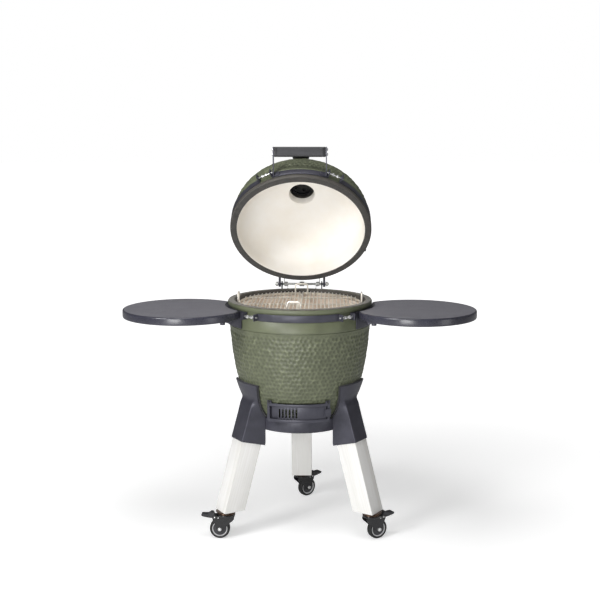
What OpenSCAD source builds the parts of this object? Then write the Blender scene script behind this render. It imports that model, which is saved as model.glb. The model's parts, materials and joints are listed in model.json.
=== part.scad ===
// Kamado ceramic grill on a three-legged stand, with two folding side shelves.
// Lengths are millimetres and angles are degrees. +Z is up and the front faces -Y.
// The origin lies on the ground, under the middle of the whole object.

/* [Bowl] */
// Outer radius of the bowl just below its collar
bowl_r = 264; // [263:0.5:265]
// Radius of the flat underside of the bowl
foot_r = 168; // [166:1:169]
// Height of the underside of the bowl
bowl_bottom_z = 453; // [453:1:455]
// Height of the top of the bowl
bowl_top_z = 875; // [874:0.5:876]

/* [Lid] */
// Angle at which the lid stands open
lid_open = 52.2; // [0:0.1:54]
// Rise of the dome above its widest ring
dome_rise = 192; // [190:1:194]
// Distance of the hinge pin behind the grill's own axis
hinge_back = 300; // [299:0.5:301]
// Height of the hinge pin
hinge_z = 890; // [889:0.5:891]
// Radius of the hinge pin
hinge_pin_r = 5; // [4:0.5:6]

/* [Cooking grid] */
// Distance between neighbouring bars
bar_pitch = 14.4; // [12:0.2:16]
// Thickness of one bar
bar_d = 4.5; // [4:0.5:5]
// Radius of the grid's rim wire
grid_r = 225; // [222:1:226]

/* [Stand] */
// Splay of each leg from the vertical
leg_splay = 16; // [15:0.5:17]
// Side of the square leg
leg_w = 80; // [78:1:80]
// Distance of the leg's middle from the grill's axis, at its foot
leg_foot_r = 300.4; // [298:0.2:303]
// Height of the leg's underside
leg_foot_z = 107; // [107:1:110]
// Outer radius of the ring that carries the bowl
stand_ring_r = 177; // [176:0.5:177]

/* [Casters] */
// Wheel diameter
wheel_d = 75; // [73:1:75]
// Wheel width
wheel_w = 24; // [20:1:24]
// Distance from the swivel axis to the axle
trail = 24; // [22:1:26]
// Height of the top face of the caster
caster_h = 107; // [107:1:110]

/* [Shelves] */
// Radius of the shelf's outer edge
shelf_r = 222; // [215:1:225]
// Thickness of the shelf
shelf_t = 29; // [24:1:30]
// Height of the shelf's top
shelf_top_z = 858; // [856:1:859]
// Distance of the shelf's centre from the grill's axis
shelf_reach = 438; // [434:1:442]
// Angle by which the shelves are set forward
shelf_forward = 14; // [12:1:16]

/* [Top vent and draft door] */
// Number of petals in the top vent
petals = 5; // [4:1:5]
// Number of slots in the draft screen
draft_slots = 6; // [4:1:6]

/* [Hidden] */
$fn = 96;

// Shift of the grill's own axis from the middle of the object's footprint.
grill_y = -28;
olive = "#6F7A5C";
graphite = "#45454D";
cream = "#F0EBDF";
steel = "#B9B9B6";
black = "#1E1E20";
front = -90;
running = 0.06;

// Heights that follow from the bowl.
collar_z = bowl_top_z - 88;
floor_z = bowl_bottom_z + 29;
band_lo = bowl_top_z - 44;
band_hi = bowl_top_z - 18;
fire_top_z = bowl_top_z - 20;
grid_z = fire_top_z + 9.5;
lid_rim_z = bowl_top_z + 6.4;

// Both ceramic walls are cubic curves, from the collar down to the flat foot.
bowl_outside = [
    [bowl_r, collar_z],
    [bowl_r - 8, collar_z - 137],
    [bowl_r - 32, bowl_bottom_z + 59],
    [foot_r, bowl_bottom_z]
];
bowl_inside = [
    [bowl_r - 26, collar_z],
    [bowl_r - 34, collar_z - 137],
    [bowl_r - 58, bowl_bottom_z + 72],
    [foot_r - 18, floor_z]
];

// Leg azimuths and the ways in which their casters trail.
leg_front_left_az = 211.5;
leg_front_right_az = 328.5;
leg_rear_az = 90;
trail_front_left = 180;
trail_front_right = 30;
trail_rear = 38;
caster_r = leg_foot_r + 16;

// Position t, from 0 to 1, along the cubic curve p.
function along(p, t) =
    pow(1 - t, 3) * p[0] + 3 * pow(1 - t, 2) * t * p[1] + 3 * (1 - t) * t * t * p[2] + t * t * t * p[3];
function heading(p, t) =
    pow(1 - t, 2) * (p[1] - p[0]) + 2 * (1 - t) * t * (p[2] - p[1]) + t * t * (p[3] - p[2]);
function unit(v) = v / norm(v);
// The same position, moved out by d at right angles to the curve.
function outside(p, t, d) = along(p, t) + d * unit([-heading(p, t).y, heading(p, t).x]);
function stretch(p, from, to, steps, d) =
    [for (i = [0:steps]) outside(p, from + (to - from) * i / steps, d)];
function ellipse_arc(rx, rz, z, from, to, steps) =
    [for (i = [0:steps]) let (a = from + (to - from) * i / steps) [rx * cos(a), z + rz * sin(a)]];

// ---- Places ----

module on_grill() translate([0, grill_y, 0]) children();

module on_lid() on_grill()
    translate([0, hinge_back, hinge_z])
        rotate([-lid_open, 0, 0])
            translate([0, -hinge_back, lid_rim_z - hinge_z]) children();

// Leg's own frame: +Z runs up the leg and +X faces away from the grill's axis.
module on_leg(az) on_grill()
    rotate([0, 0, az]) translate([leg_foot_r, 0, leg_foot_z]) rotate([0, -leg_splay, 0]) children();

// Caster's own frame: the swivel axis is Z and the wheel trails towards +X.
module on_caster(az, way) on_grill()
    rotate([0, 0, az]) translate([caster_r, 0, 0]) rotate([0, 0, way - az]) children();

// Shelf's own frame, for side 1 (right) or -1 (left): +X points out along the shelf.
module on_shelf(side) on_grill()
    mirror([side < 0 ? 1 : 0, 0, 0]) rotate([0, 0, -shelf_forward]) children();

// ---- Shapes used more than once ----

module turned_profile(mid, half, points)
    rotate_extrude(start = mid - half, angle = 2 * half) polygon(points);

module arc_plate(r_in, r_out, lo, hi, mid, half)
    turned_profile(mid, half, [[r_in, lo], [r_out, lo], [r_out, hi], [r_in, hi]]);

module hoop(r_in, r_out, lo, hi)
    rotate_extrude() polygon([[r_in, lo], [r_out, lo], [r_out, hi], [r_in, hi]]);

module rod(from, to, r) {
    d = to - from;
    translate(from)
        rotate([0, acos(d.z / norm(d)), atan2(d.y, d.x)])
            cylinder(h = norm(d), r = r, $fn = 24);
}

// Flat plate whose outline lies in the plane across X, centred on x.
module side_plate(x, thickness, points)
    translate([x - thickness / 2, 0, 0])
        rotate([90, 0, 90]) linear_extrude(thickness) polygon(points);

// Round bar along X.
module cross_bar(from, to, y, z, r)
    translate([from, y, z]) rotate([0, 90, 0]) cylinder(h = to - from, r = r, $fn = 48);

// The bowl's outside as one solid, grown by d.
module bowl_mass(d)
    rotate_extrude() polygon(concat(
        [[0, bowl_bottom_z - d], [foot_r, bowl_bottom_z - d]],
        stretch(bowl_outside, 1, 0, 18, d),
        [[bowl_r + d, bowl_top_z], [0, bowl_top_z]]
    ));

// Clamp bolt between a band's ends: a shank along the rim with a barrel nut on each side.
module clamp_bolt(az, z, shank_r)
    rotate([0, 0, az]) translate([clamp_r, 0, z]) rotate([90, 0, 0])
        cylinder(h = 2 * clamp_half, r = shank_r, center = true, $fn = 24);

module barrel_nuts(az, z, length)
    rotate([0, 0, az]) translate([clamp_r, 0, z])
        for (s = [-1, 1]) translate([0, s * (5 + length / 2), 0]) rotate([90, 0, 0])
            cylinder(h = length, r = 6.5, center = true, $fn = 32);

clamp_r = bowl_r + 15;
clamp_half = 34;

// Upright ear that stands out from a band, at azimuth az.
module band_ear(az, lo, hi)
    rotate([0, 0, az]) translate([bowl_r + 2.2, -1.6, lo + 0.6]) cube([25.3, 3.2, hi - lo - 1.2]);

// ---- Bowl and what stands in it ----

module base_bowl() color(olive) on_grill() difference() {
    rotate_extrude() polygon(concat(
        [[0, bowl_bottom_z]],
        stretch(bowl_outside, 1, 0, 18, 0),
        [[bowl_r + 3, collar_z + 2], [bowl_r + 3, band_lo - 3], [bowl_r + 0.5, band_lo - 1]],
        [[bowl_r + 0.5, band_hi + 1], [bowl_r + 2, band_hi + 3], [bowl_r + 5.5, band_hi + 6]],
        [[bowl_r + 5.5, bowl_top_z - 2], [bowl_r + 3.5, bowl_top_z], [bowl_r - 20, bowl_top_z]],
        [[bowl_r - 21, bowl_top_z - 1], [bowl_r - 23, bowl_top_z - 55]],
        stretch(bowl_inside, 0, 1, 14, 0),
        [[0, floor_z]]
    ));
    translate([-draft_hole_w / 2, -bowl_r, draft_hole_lo])
        cube([draft_hole_w, 120, draft_hole_hi - draft_hole_lo]);
    draft_screw_shanks(3);
}

draft_hole_w = 160;
draft_hole_lo = bowl_bottom_z + 33;
draft_hole_hi = bowl_bottom_z + 61;

module base_gasket() color(black) on_grill() hoop(bowl_r - 18, bowl_r + 3, bowl_top_z, bowl_top_z + 3);

module firebox() color(cream) on_grill() difference() {
    rotate_extrude() polygon([
        [ash_hole_r, floor_z], [foot_r - 33, floor_z], [foot_r, floor_z + 38],
        [196, 600], [firebox_r, firebox_top_z], [firebox_r - 22, firebox_top_z],
        [174, 610], [150, grate_z + 25], [grate_r + 8, grate_z], [ash_hole_r, grate_z]
    ]);
    translate([-60, -bowl_r, floor_z - 1]) cube([120, bowl_r, 28]);
}

ash_hole_r = 70;
firebox_r = 208;
firebox_top_z = 700;
grate_z = 520;
grate_r = 112;

module fire_ring() color(cream) on_grill()
    rotate_extrude() polygon([
        [firebox_r - 20, firebox_top_z], [firebox_r, firebox_top_z], [firebox_r + 18, 760],
        [firebox_r + 25, fire_top_z], [firebox_r + 5, fire_top_z], [firebox_r - 2, 760]
    ]);

module charcoal_grate() color(steel) on_grill() difference() {
    translate([0, 0, grate_z]) cylinder(h = 7, r = grate_r);
    for (i = [-4:4]) {
        reach = sqrt(pow(grate_r - 14, 2) - pow(i * 21, 2));
        for (s = [-1, 1])
            translate([i * 21 - 5, s > 0 ? 5 : -reach, grate_z - 1]) cube([10, reach - 5, 9]);
    }
}

// Wire frame on the fire ring, with four upright loops that lift the grid out.
module rack_frame() color(steel) on_grill() {
    rotate_extrude() translate([rack_r, rack_z]) circle(r = 3, $fn = 24);
    for (az = [front - 4, 0, 90, 180]) rotate([0, 0, az]) rack_loop();
}

rack_r = 232;
rack_z = fire_top_z + 3.2;
loop_half = 24;
loop_top_z = rack_z + 42;

module rack_loop() {
    reach = sqrt(rack_r * rack_r - loop_half * loop_half);
    for (s = [-1, 1])
        rod([reach, s * loop_half, rack_z - 1], [reach, s * loop_half, loop_top_z], 2.6);
    rod([reach, -loop_half - 3, loop_top_z], [reach, loop_half + 3, loop_top_z], 3.1);
}

// Half-moon cooking grid for side 1 (right) or -1 (left).
module half_grid(side) color(steel) on_grill() mirror([side < 0 ? 1 : 0, 0, 0]) {
    turned_profile(0, 88.9, [for (a = [22.5:45:337.5]) [grid_r + 3.2 * cos(a), grid_z + 3.2 * sin(a)]]);
    rod([4.7, -grid_r + 0.8, grid_z], [4.7, grid_r - 0.8, grid_z], 2.8);
    for (i = [0:floor((grid_r - 8) / bar_pitch) - 1]) {
        x = bar_pitch * (i + 0.5);
        half = sqrt(grid_r * grid_r - x * x) - 0.4;
        translate([x, half, grid_z + 2.3 + bar_d / 2]) rotate([90, 0, 0])
            cylinder(h = 2 * half, r = bar_d / 2, $fn = 8);
    }
    for (y = grid_cross_y)
        rod([4.7, y, grid_z], [sqrt(grid_r * grid_r - y * y) - 0.6, y, grid_z], 2.8);
}

grid_cross_y = [-57, 99];

module grid_left() half_grid(-1);
module grid_right() half_grid(1);

// ---- Lower band, with its clamp bolts ----

lower_clamp_az = 38.5;
clamp_gap = 5.5;

module lower_band_front() color(graphite) on_grill() difference() {
    union() {
        arc_plate(bowl_r + 0.8, bowl_r + 4, band_lo, band_hi, front, lower_clamp_az - clamp_gap);
        for (s = [-1, 1]) band_ear(front + s * (lower_clamp_az - clamp_gap), band_lo, band_hi);
    }
    for (s = [-1, 1]) clamp_bolt(front + s * lower_clamp_az, (band_lo + band_hi) / 2, 3.2);
}

module lower_band_rear() color(graphite) on_grill() difference() {
    union() {
        arc_plate(bowl_r + 0.8, bowl_r + 4, band_lo, band_hi, 90, 180 - lower_clamp_az - clamp_gap);
        for (s = [-1, 1]) band_ear(front + s * (lower_clamp_az + clamp_gap), band_lo, band_hi);
    }
    for (s = [-1, 1]) clamp_bolt(front + s * lower_clamp_az, (band_lo + band_hi) / 2, 3.2);
}

module lower_band_bolts() color("silver") on_grill()
    for (s = [-1, 1]) {
        clamp_bolt(front + s * lower_clamp_az, (band_lo + band_hi) / 2, 3);
        barrel_nuts(front + s * lower_clamp_az, (band_lo + band_hi) / 2, 11);
    }

// ---- Hinge ----

lower_ear_x = 79.5;
upper_ear_x = 89;
lower_ear_t = 5;
upper_ear_t = 9;
boss_r = 12;

// Round boss of an ear, about the pin.
module ear_boss(x, thickness, z)
    cross_bar(x - thickness / 2, x + thickness / 2, hinge_back, z, boss_r);

module lower_hinge_bracket() color(graphite) on_grill() difference() {
    union() {
        arc_plate(bowl_r + 4.5, bowl_r + 9, band_lo - 4, band_hi + 3, 90, 20);
        for (s = [-1, 1]) {
            side_plate(s * lower_ear_x, lower_ear_t, [
                [bowl_r - 4.5, band_lo - 1], [bowl_r + 8, band_lo - 1], [hinge_back + 11, hinge_z - 5],
                [hinge_back - 10, hinge_z + 7], [bowl_r + 2, band_hi + 5], [bowl_r - 4.5, band_hi + 1]
            ]);
            ear_boss(s * lower_ear_x, lower_ear_t, hinge_z);
        }
    }
    cross_bar(-upper_ear_x, upper_ear_x, hinge_back, hinge_z, hinge_pin_r + running);
}

module hinge_pin() color("silver") on_grill() {
    cross_bar(-108, 108, hinge_back, hinge_z, hinge_pin_r);
    cross_bar(-10, 10, hinge_back, hinge_z, 10);
    for (s = [-1, 1]) translate([s * 99.5, hinge_back, hinge_z]) rotate([0, 90, 0])
        cylinder(h = 9, r = 9.5, center = true, $fn = 6);
}

// Torsion spring around the pin, drawn as its sleeve and its two legs.
module hinge_spring(side) color("silver") {
    on_grill() {
        translate([side * 63, hinge_back, hinge_z]) rotate([0, 90, 0]) difference() {
            cylinder(h = 21, r = 10, center = true, $fn = 48);
            cylinder(h = 30, r = 7, center = true, $fn = 48);
        }
        rod([side * 56, hinge_back - 8.5, hinge_z], [side * 56, hinge_back - 28, band_hi - 5], 1.25);
    }
    on_lid()
        rod([side * 70, hinge_back, hinge_z - lid_rim_z + 8.5], [side * 70, hinge_back - 25, 40], 1.25);
}

module hinge_spring_left() hinge_spring(-1);
module hinge_spring_right() hinge_spring(1);

// ---- Draft opening at the foot of the bowl ----

draft_lo = bowl_bottom_z + 2;
draft_hi = bowl_bottom_z + 70;
draft_r = 222;
draft_half = 31;
draft_lug_z = draft_hi + 5;

module draft_screw_shanks(r)
    for (s = [-1, 1]) rotate([0, 0, front + s * (draft_half - 2.2)])
        translate([190, 0, draft_lug_z]) rotate([0, 90, 0]) cylinder(h = draft_r - 190, r = r, $fn = 24);

module draft_frame() color(graphite) on_grill() difference() {
    union() {
        turned_profile(front, draft_half, [
            [foot_r, draft_lo], [draft_r, draft_lo], [draft_r, draft_lo + 11],
            [draft_r - 2.5, draft_lo + 11], [draft_r - 2.5, draft_lo + 7], [foot_r, draft_lo + 7]
        ]);
        turned_profile(front, draft_half, [
            [205, draft_hi - 5.5], [draft_r - 2.5, draft_hi - 5.5], [draft_r - 2.5, draft_hi - 10],
            [draft_r, draft_hi - 10], [draft_r, draft_hi], [205, draft_hi]
        ]);
        for (s = [-1, 1]) {
            turned_profile(front + s * (draft_half - 1.3), 1.3,
                [[foot_r, draft_lo], [draft_r, draft_lo], [draft_r, draft_hi], [205, draft_hi]]);
            arc_plate(draft_r - 8, draft_r, draft_hi - 1, draft_hi + 10, front + s * (draft_half - 2.2), 2.2);
        }
    }
    bowl_mass(0.4);
    draft_screw_shanks(3);
}

module draft_screen() color("gray") on_grill() difference() {
    arc_plate(draft_r - 12, draft_r - 10, draft_lo + 7.3, draft_hi - 5.8, front, draft_half - 3);
    bowl_mass(0.4);
    for (i = [0:draft_slots - 1])
        rotate([0, 0, front - 2 - 3.4 * i]) translate([draft_r - 20, -3, draft_lo + 15])
            cube([20, 6, 32]);
}

module draft_screws() color("silver") on_grill() {
    draft_screw_shanks(2.8);
    for (s = [-1, 1]) rotate([0, 0, front + s * (draft_half - 2.2)])
        translate([draft_r, 0, draft_lug_z]) rotate([0, 90, 0]) cylinder(h = 3, r = 4.6, $fn = 32);
}

// Curved sliding door; it slides to the left, round the bowl, to cover the slots.
module draft_door() color(graphite) on_grill() {
    arc_plate(draft_r - 6, draft_r - 3, draft_lo + 8.3, draft_hi - 6.5, front + 13.2, 14.2);
    arc_plate(draft_r - 3.5, draft_r + 5, draft_lo + 20, draft_hi - 20, front + 26, 0.5);
    arc_plate(draft_r + 2, draft_r + 5, draft_lo + 20, draft_hi - 20, front + 28.5, 3);
}

// ---- Stand ----

ring_lo = bowl_bottom_z - 48;
ring_hi = bowl_bottom_z - 3;
bolt_z = ring_lo + 20;

module leg_bolt_shanks(az, r)
    rotate([0, 0, az]) for (s = [-1, 1]) translate([stand_ring_r - 9, s * 20, bolt_z])
        rotate([0, 90, 0]) cylinder(h = 48, r = r, $fn = 24);

module all_leg_bolt_shanks(r)
    for (az = [leg_front_left_az, leg_front_right_az, leg_rear_az]) leg_bolt_shanks(az, r);

module stand_ring() color(graphite) on_grill() difference() {
    rotate_extrude() polygon([
        [stand_ring_r - 6, ring_lo], [stand_ring_r, ring_lo], [stand_ring_r, ring_hi],
        [125, ring_hi], [125, ring_hi - 4.5], [stand_ring_r - 6, ring_hi - 4.5]
    ]);
    all_leg_bolt_shanks(4.3);
}

module stand_bolts() color("silver") on_grill() {
    all_leg_bolt_shanks(4);
    for (az = [leg_front_left_az, leg_front_right_az, leg_rear_az]) rotate([0, 0, az])
        for (s = [-1, 1]) translate([stand_ring_r - 14, s * 20, bolt_z])
            rotate([0, 90, 0]) cylinder(h = 5, r = 7, $fn = 6);
}

sleeve_lo = 268.4;
sleeve_wall = 3;

// Steel bracket: a square sleeve on the leg, and a curved plate that cradles the bowl.
module leg_bracket(az) color(graphite) difference() {
    union() {
        on_leg(az) difference() {
            translate([-leg_w / 2 - 10, -leg_w / 2 - 3.5, sleeve_lo]) cube([leg_w + 13.5, leg_w + 7, 190]);
            translate([-leg_w / 2 - 7, -leg_w / 2 - 0.4, sleeve_lo - 5]) cube([leg_w + 7.4, leg_w + 0.8, 220]);
        }
        on_grill() turned_profile(az, cradle_half, concat(
            stretch(bowl_outside, 0.93, 0.52, 12, 6.3), stretch(bowl_outside, 0.52, 0.93, 12, 10.8)));
    }
    on_grill() bowl_mass(6.3);
    on_grill() translate([0, 0, ring_lo - 0.5]) cylinder(h = 70, r = stand_ring_r + 0.3);
}

cradle_half = 19.5;

module leg_bracket_front_left() leg_bracket(leg_front_left_az);
module leg_bracket_front_right() leg_bracket(leg_front_right_az);
module leg_bracket_rear() leg_bracket(leg_rear_az);

// Felt between the steel and the ceramic: three cradle pads and the ring under the foot.
module cradle_pads() color(black) on_grill() {
    for (az = [leg_front_left_az, leg_front_right_az, leg_rear_az])
        turned_profile(az, cradle_half + 0.5, concat(
            stretch(bowl_outside, 0.935, 0.515, 12, 0.3), stretch(bowl_outside, 0.515, 0.935, 12, 6)));
    hoop(127, foot_r - 2, ring_hi, bowl_bottom_z);
}

module leg(az) color("#E8E7E3") difference() {
    on_leg(az) translate([-leg_w / 2, -leg_w / 2, -40]) cube([leg_w, leg_w, 430]);
    on_grill() {
        rotate([0, 0, az]) translate([0, -100, -100]) cube([500, 200, 100 + leg_foot_z]);
        rotate([0, 0, az]) translate([0, -100, ring_hi - 10]) cube([500, 200, 200]);
        translate([0, 0, ring_lo - 3]) cylinder(h = 100, r = stand_ring_r + 1.5);
        leg_bolt_shanks(az, 4.1);
    }
}

module leg_front_left() leg(leg_front_left_az);
module leg_front_right() leg(leg_front_right_az);
module leg_rear() leg(leg_rear_az);

// ---- Casters ----

axle_z = wheel_d / 2;
crown_lo = caster_h - 20.5;
crown_hi = caster_h - 12.5;
pedal_x = 42;
pedal_z = 84;
king_r = 6;

module caster_plate(az, way) on_caster(az, way) {
    translate([0, 0, caster_h - 3.5]) cylinder(h = 3.5, r = 38.5);
    translate([0, 0, crown_hi + 0.4]) cylinder(h = caster_h - crown_hi - 3.4, r = 33);
    translate([0, 0, crown_lo - 5]) cylinder(h = caster_h - crown_lo, r = king_r);
    translate([0, 0, crown_lo - 6]) cylinder(h = 5.6, r = 10);
}

module caster_plates() color("#4A3C36") {
    caster_plate(leg_front_left_az, trail_front_left);
    caster_plate(leg_front_right_az, trail_front_right);
    caster_plate(leg_rear_az, trail_rear);
}

// Fork with its axle and pedal pin: a crown disc above two cheeks.
module fork(az, way) color(black) on_caster(az, way) {
    difference() {
        union() {
            translate([0, 0, crown_lo]) cylinder(h = crown_hi - crown_lo, r = 34);
            for (s = [-1, 1]) translate([0, s * 16, 0]) rotate([90, 0, 0]) {
                linear_extrude(3, center = true) polygon([
                    [-29, crown_lo + 1], [-29, crown_lo - 8], [trail - 13, axle_z - 2],
                    [trail + 13, axle_z + 2], [pedal_x + 9, pedal_z - 6], [pedal_x + 9, crown_lo + 1]
                ]);
                translate([trail, axle_z, 0]) cylinder(h = 3, r = 13, center = true);
                translate([pedal_x, pedal_z, 0]) cylinder(h = 3, r = 9, center = true);
            }
        }
        translate([0, 0, crown_lo - 1]) cylinder(h = 20, r = king_r + running);
    }
    translate([trail, 0, axle_z]) rotate([90, 0, 0]) cylinder(h = 42, r = 4, center = true, $fn = 48);
    for (s = [-1, 1]) translate([trail, s * 20, axle_z]) rotate([90, 0, 0])
        cylinder(h = 4, r = 7, center = true, $fn = 6);
    translate([pedal_x, 0, pedal_z]) rotate([90, 0, 0]) cylinder(h = 36, r = 3, center = true, $fn = 48);
}

module fork_front_left() fork(leg_front_left_az, trail_front_left);
module fork_front_right() fork(leg_front_right_az, trail_front_right);
module fork_rear() fork(leg_rear_az, trail_rear);

module wheel(az, way) color("#2A2A2C") on_caster(az, way)
    translate([trail, 0, axle_z]) rotate([90, 0, 0]) {
        rotate_extrude() polygon([
            [28, -wheel_w / 2 + 1], [axle_z - 4, -wheel_w / 2], [axle_z - 1, -wheel_w / 2 + 2],
            [axle_z, -wheel_w / 2 + 6], [axle_z, wheel_w / 2 - 6], [axle_z - 1, wheel_w / 2 - 2],
            [axle_z - 4, wheel_w / 2], [28, wheel_w / 2 - 1]
        ]);
        rotate_extrude() polygon([
            [4 + running, -wheel_w / 2 - 1.4], [11, -wheel_w / 2 - 1.4], [12, -8], [28, -9],
            [28, 9], [12, 8], [11, wheel_w / 2 + 1.4], [4 + running, wheel_w / 2 + 1.4]
        ]);
    }

module wheel_front_left() wheel(leg_front_left_az, trail_front_left);
module wheel_front_right() wheel(leg_front_right_az, trail_front_right);
module wheel_rear() wheel(leg_rear_az, trail_rear);

// Brake pedal between the cheeks; its outer end is pressed down with a foot.
module brake(az, way) color("#2E2E31") on_caster(az, way) difference() {
    union() {
        translate([pedal_x, 0, pedal_z]) rotate([90, 0, 0]) cylinder(h = 26, r = 6.5, center = true);
        translate([0, 13, 0]) rotate([90, 0, 0]) linear_extrude(26) polygon([
            [pedal_x, pedal_z - 5], [68, pedal_z - 3], [88, pedal_z + 1], [93, pedal_z + 6],
            [90, pedal_z + 10], [66, pedal_z + 9], [56, pedal_z + 17], [48, pedal_z + 17],
            [pedal_x + 1, pedal_z + 6]
        ]);
    }
    translate([pedal_x, 0, pedal_z]) rotate([90, 0, 0]) cylinder(h = 60, r = 3 + running, center = true, $fn = 48);
}

module brake_front_left() brake(leg_front_left_az, trail_front_left);
module brake_front_right() brake(leg_front_right_az, trail_front_right);
module brake_rear() brake(leg_rear_az, trail_rear);

// ---- Side shelves ----

shelf_pivot_x = 296;
shelf_pivot_z = shelf_top_z - 43;
shelf_pin_r = 4;

module shelf_bracket(side) color(graphite) on_shelf(side) difference() {
    union() {
        arc_plate(bowl_r + 4.6, bowl_r + 8.6, band_lo - 38, band_hi - 1, 0, 26);
        for (s = [-1, 1]) {
            translate([0, s * 44 + 2, 0]) rotate([90, 0, 0]) linear_extrude(4)
                polygon([[266, 797], [shelf_pivot_x, shelf_pivot_z - 9], [shelf_pivot_x, shelf_pivot_z + 3], [266, 818]]);
            translate([shelf_pivot_x, s * 44, shelf_pivot_z]) rotate([90, 0, 0])
                cylinder(h = 4, r = 9, center = true);
        }
    }
    translate([shelf_pivot_x, 0, shelf_pivot_z]) rotate([90, 0, 0])
        cylinder(h = 120, r = shelf_pin_r + running, center = true, $fn = 48);
    hoop(200, bowl_r + 4.5, 700, 900);
}

module shelf_bracket_left() shelf_bracket(-1);
module shelf_bracket_right() shelf_bracket(1);

// Moving leaf with its pin, screwed under the shelf, and two rubber bumpers.
module shelf_hinge(side) color(graphite) on_shelf(side) {
    leaf_z = shelf_top_z - shelf_t - 3;
    translate([285, -55, leaf_z]) cube([60, 110, 3]);
    for (s = [-1, 1]) {
        translate([0, s * 34 + 2, 0]) rotate([90, 0, 0]) linear_extrude(4)
            polygon([[shelf_pivot_x - 8, leaf_z + 1], [shelf_pivot_x - 8, shelf_pivot_z],
                     [shelf_pivot_x + 8, shelf_pivot_z], [340, leaf_z - 2], [340, leaf_z + 1]]);
        translate([shelf_pivot_x, s * 34, shelf_pivot_z]) rotate([90, 0, 0])
            cylinder(h = 4, r = 9, center = true);
        translate([320, s * 174, leaf_z - 6]) cylinder(h = 9, r = 9);
    }
    translate([shelf_pivot_x, 0, shelf_pivot_z]) rotate([90, 0, 0])
        cylinder(h = 98, r = shelf_pin_r, center = true, $fn = 48);
}

module shelf_hinge_left() shelf_hinge(-1);
module shelf_hinge_right() shelf_hinge(1);

// Round board, cut back to the curve of the bowl on its inner edge.
module shelf(side) color("#55555C") difference() {
    on_shelf(side) difference() {
        translate([shelf_reach, 0, shelf_top_z]) rotate_extrude() polygon([
            [0, -shelf_t], [shelf_r - 2, -shelf_t], [shelf_r, 2 - shelf_t],
            [shelf_r, -2], [shelf_r - 2, 0], [0, 0]
        ]);
        translate([0, 0, shelf_top_z - 50]) cylinder(h = 100, r = bowl_r + 12);
    }
    on_grill() mirror([side < 0 ? 1 : 0, 0, 0])
        translate([0, 0, shelf_top_z - 50]) cube([270, 400, 100]);
}

module shelf_left() shelf(-1);
module shelf_right() shelf(1);

// ---- Lid ----

neck_r = 62;
vent_r = 45;
band_u_lo = 20;
band_u_hi = 44;
dome_u = 58;
inner_rise = 168;
upper_clamp_az = 27.8;

module dome() color(olive) on_lid() difference() {
    rotate_extrude() polygon(concat(
        [[bowl_r - 20, 0], [bowl_r + 4, 0], [bowl_r + 5.5, 2], [bowl_r + 5.5, 14]],
        [[bowl_r + 3, 17], [bowl_r + 1, 19], [bowl_r + 1, 45], [bowl_r + 3.5, 47], [bowl_r + 3.5, 54]],
        ellipse_arc(bowl_r, dome_rise, dome_u, 0, acos(neck_r / bowl_r), 20),
        [[neck_r, 246], [neck_r, 258], [vent_r, 258], [vent_r, 222]],
        ellipse_arc(bowl_r - 24, inner_rise, 46, acos((vent_r + 8) / (bowl_r - 24)), 0, 16),
        [[bowl_r - 21, 10], [bowl_r - 21, 1]]
    ));
    on_thermometer() translate([0, 0, -70]) cylinder(h = 90, r = 5, $fn = 32);
}

module lid_gasket() color(black) on_lid() hoop(bowl_r - 18, bowl_r + 3, -3, 0);

module upper_band_front() color(graphite) on_lid() difference() {
    union() {
        arc_plate(bowl_r + 1.3, bowl_r + 4.3, band_u_lo, band_u_hi, front, upper_clamp_az - clamp_gap);
        for (s = [-1, 1]) band_ear(front + s * (upper_clamp_az - clamp_gap), band_u_lo, band_u_hi);
    }
    for (s = [-1, 1]) clamp_bolt(front + s * upper_clamp_az, (band_u_lo + band_u_hi) / 2, 3.2);
}

module upper_band_rear() color(graphite) on_lid() difference() {
    union() {
        arc_plate(bowl_r + 1.3, bowl_r + 4.3, band_u_lo, band_u_hi, 90, 180 - upper_clamp_az - clamp_gap);
        for (s = [-1, 1]) band_ear(front + s * (upper_clamp_az + clamp_gap), band_u_lo, band_u_hi);
    }
    for (s = [-1, 1]) clamp_bolt(front + s * upper_clamp_az, (band_u_lo + band_u_hi) / 2, 3.2);
}

module upper_band_bolts() color("silver") on_lid()
    for (s = [-1, 1]) {
        clamp_bolt(front + s * upper_clamp_az, (band_u_lo + band_u_hi) / 2, 3);
        barrel_nuts(front + s * upper_clamp_az, (band_u_lo + band_u_hi) / 2, 6);
    }

module upper_hinge_bracket() color(graphite) on_lid() difference() {
    pin_u = hinge_z - lid_rim_z;
    union() {
        arc_plate(bowl_r + 4.8, bowl_r + 9, band_u_lo, band_u_hi, 90, 22);
        for (s = [-1, 1]) {
            side_plate(s * upper_ear_x, upper_ear_t, [
                [bowl_r - 8, band_u_lo], [bowl_r + 4, band_u_lo], [hinge_back - 6, pin_u - 10.4],
                [hinge_back + 6, pin_u + 10.4], [bowl_r + 4, band_u_hi], [bowl_r - 8, band_u_hi]
            ]);
            ear_boss(s * upper_ear_x, upper_ear_t, pin_u);
        }
    }
    cross_bar(-upper_ear_x - 10, upper_ear_x + 10, hinge_back, pin_u, hinge_pin_r + running);
}

// ---- Handle: a bar held between two upright brackets ----

handle_reach = 318.5;
handle_u = 81.5;
handle_half = 95;
handle_long = 36;
handle_short = 24;

module on_handle() on_lid() translate([0, -handle_reach, handle_u]) rotate([-45, 0, 0]) children();

module handle_screw_shanks(r)
    on_handle() for (s = [-1, 1], t = [-1, 1])
        translate([s * (handle_half - 5), t * 9, 0]) rotate([0, 90, 0])
            cylinder(h = 30, r = r, center = true, $fn = 24);

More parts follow.
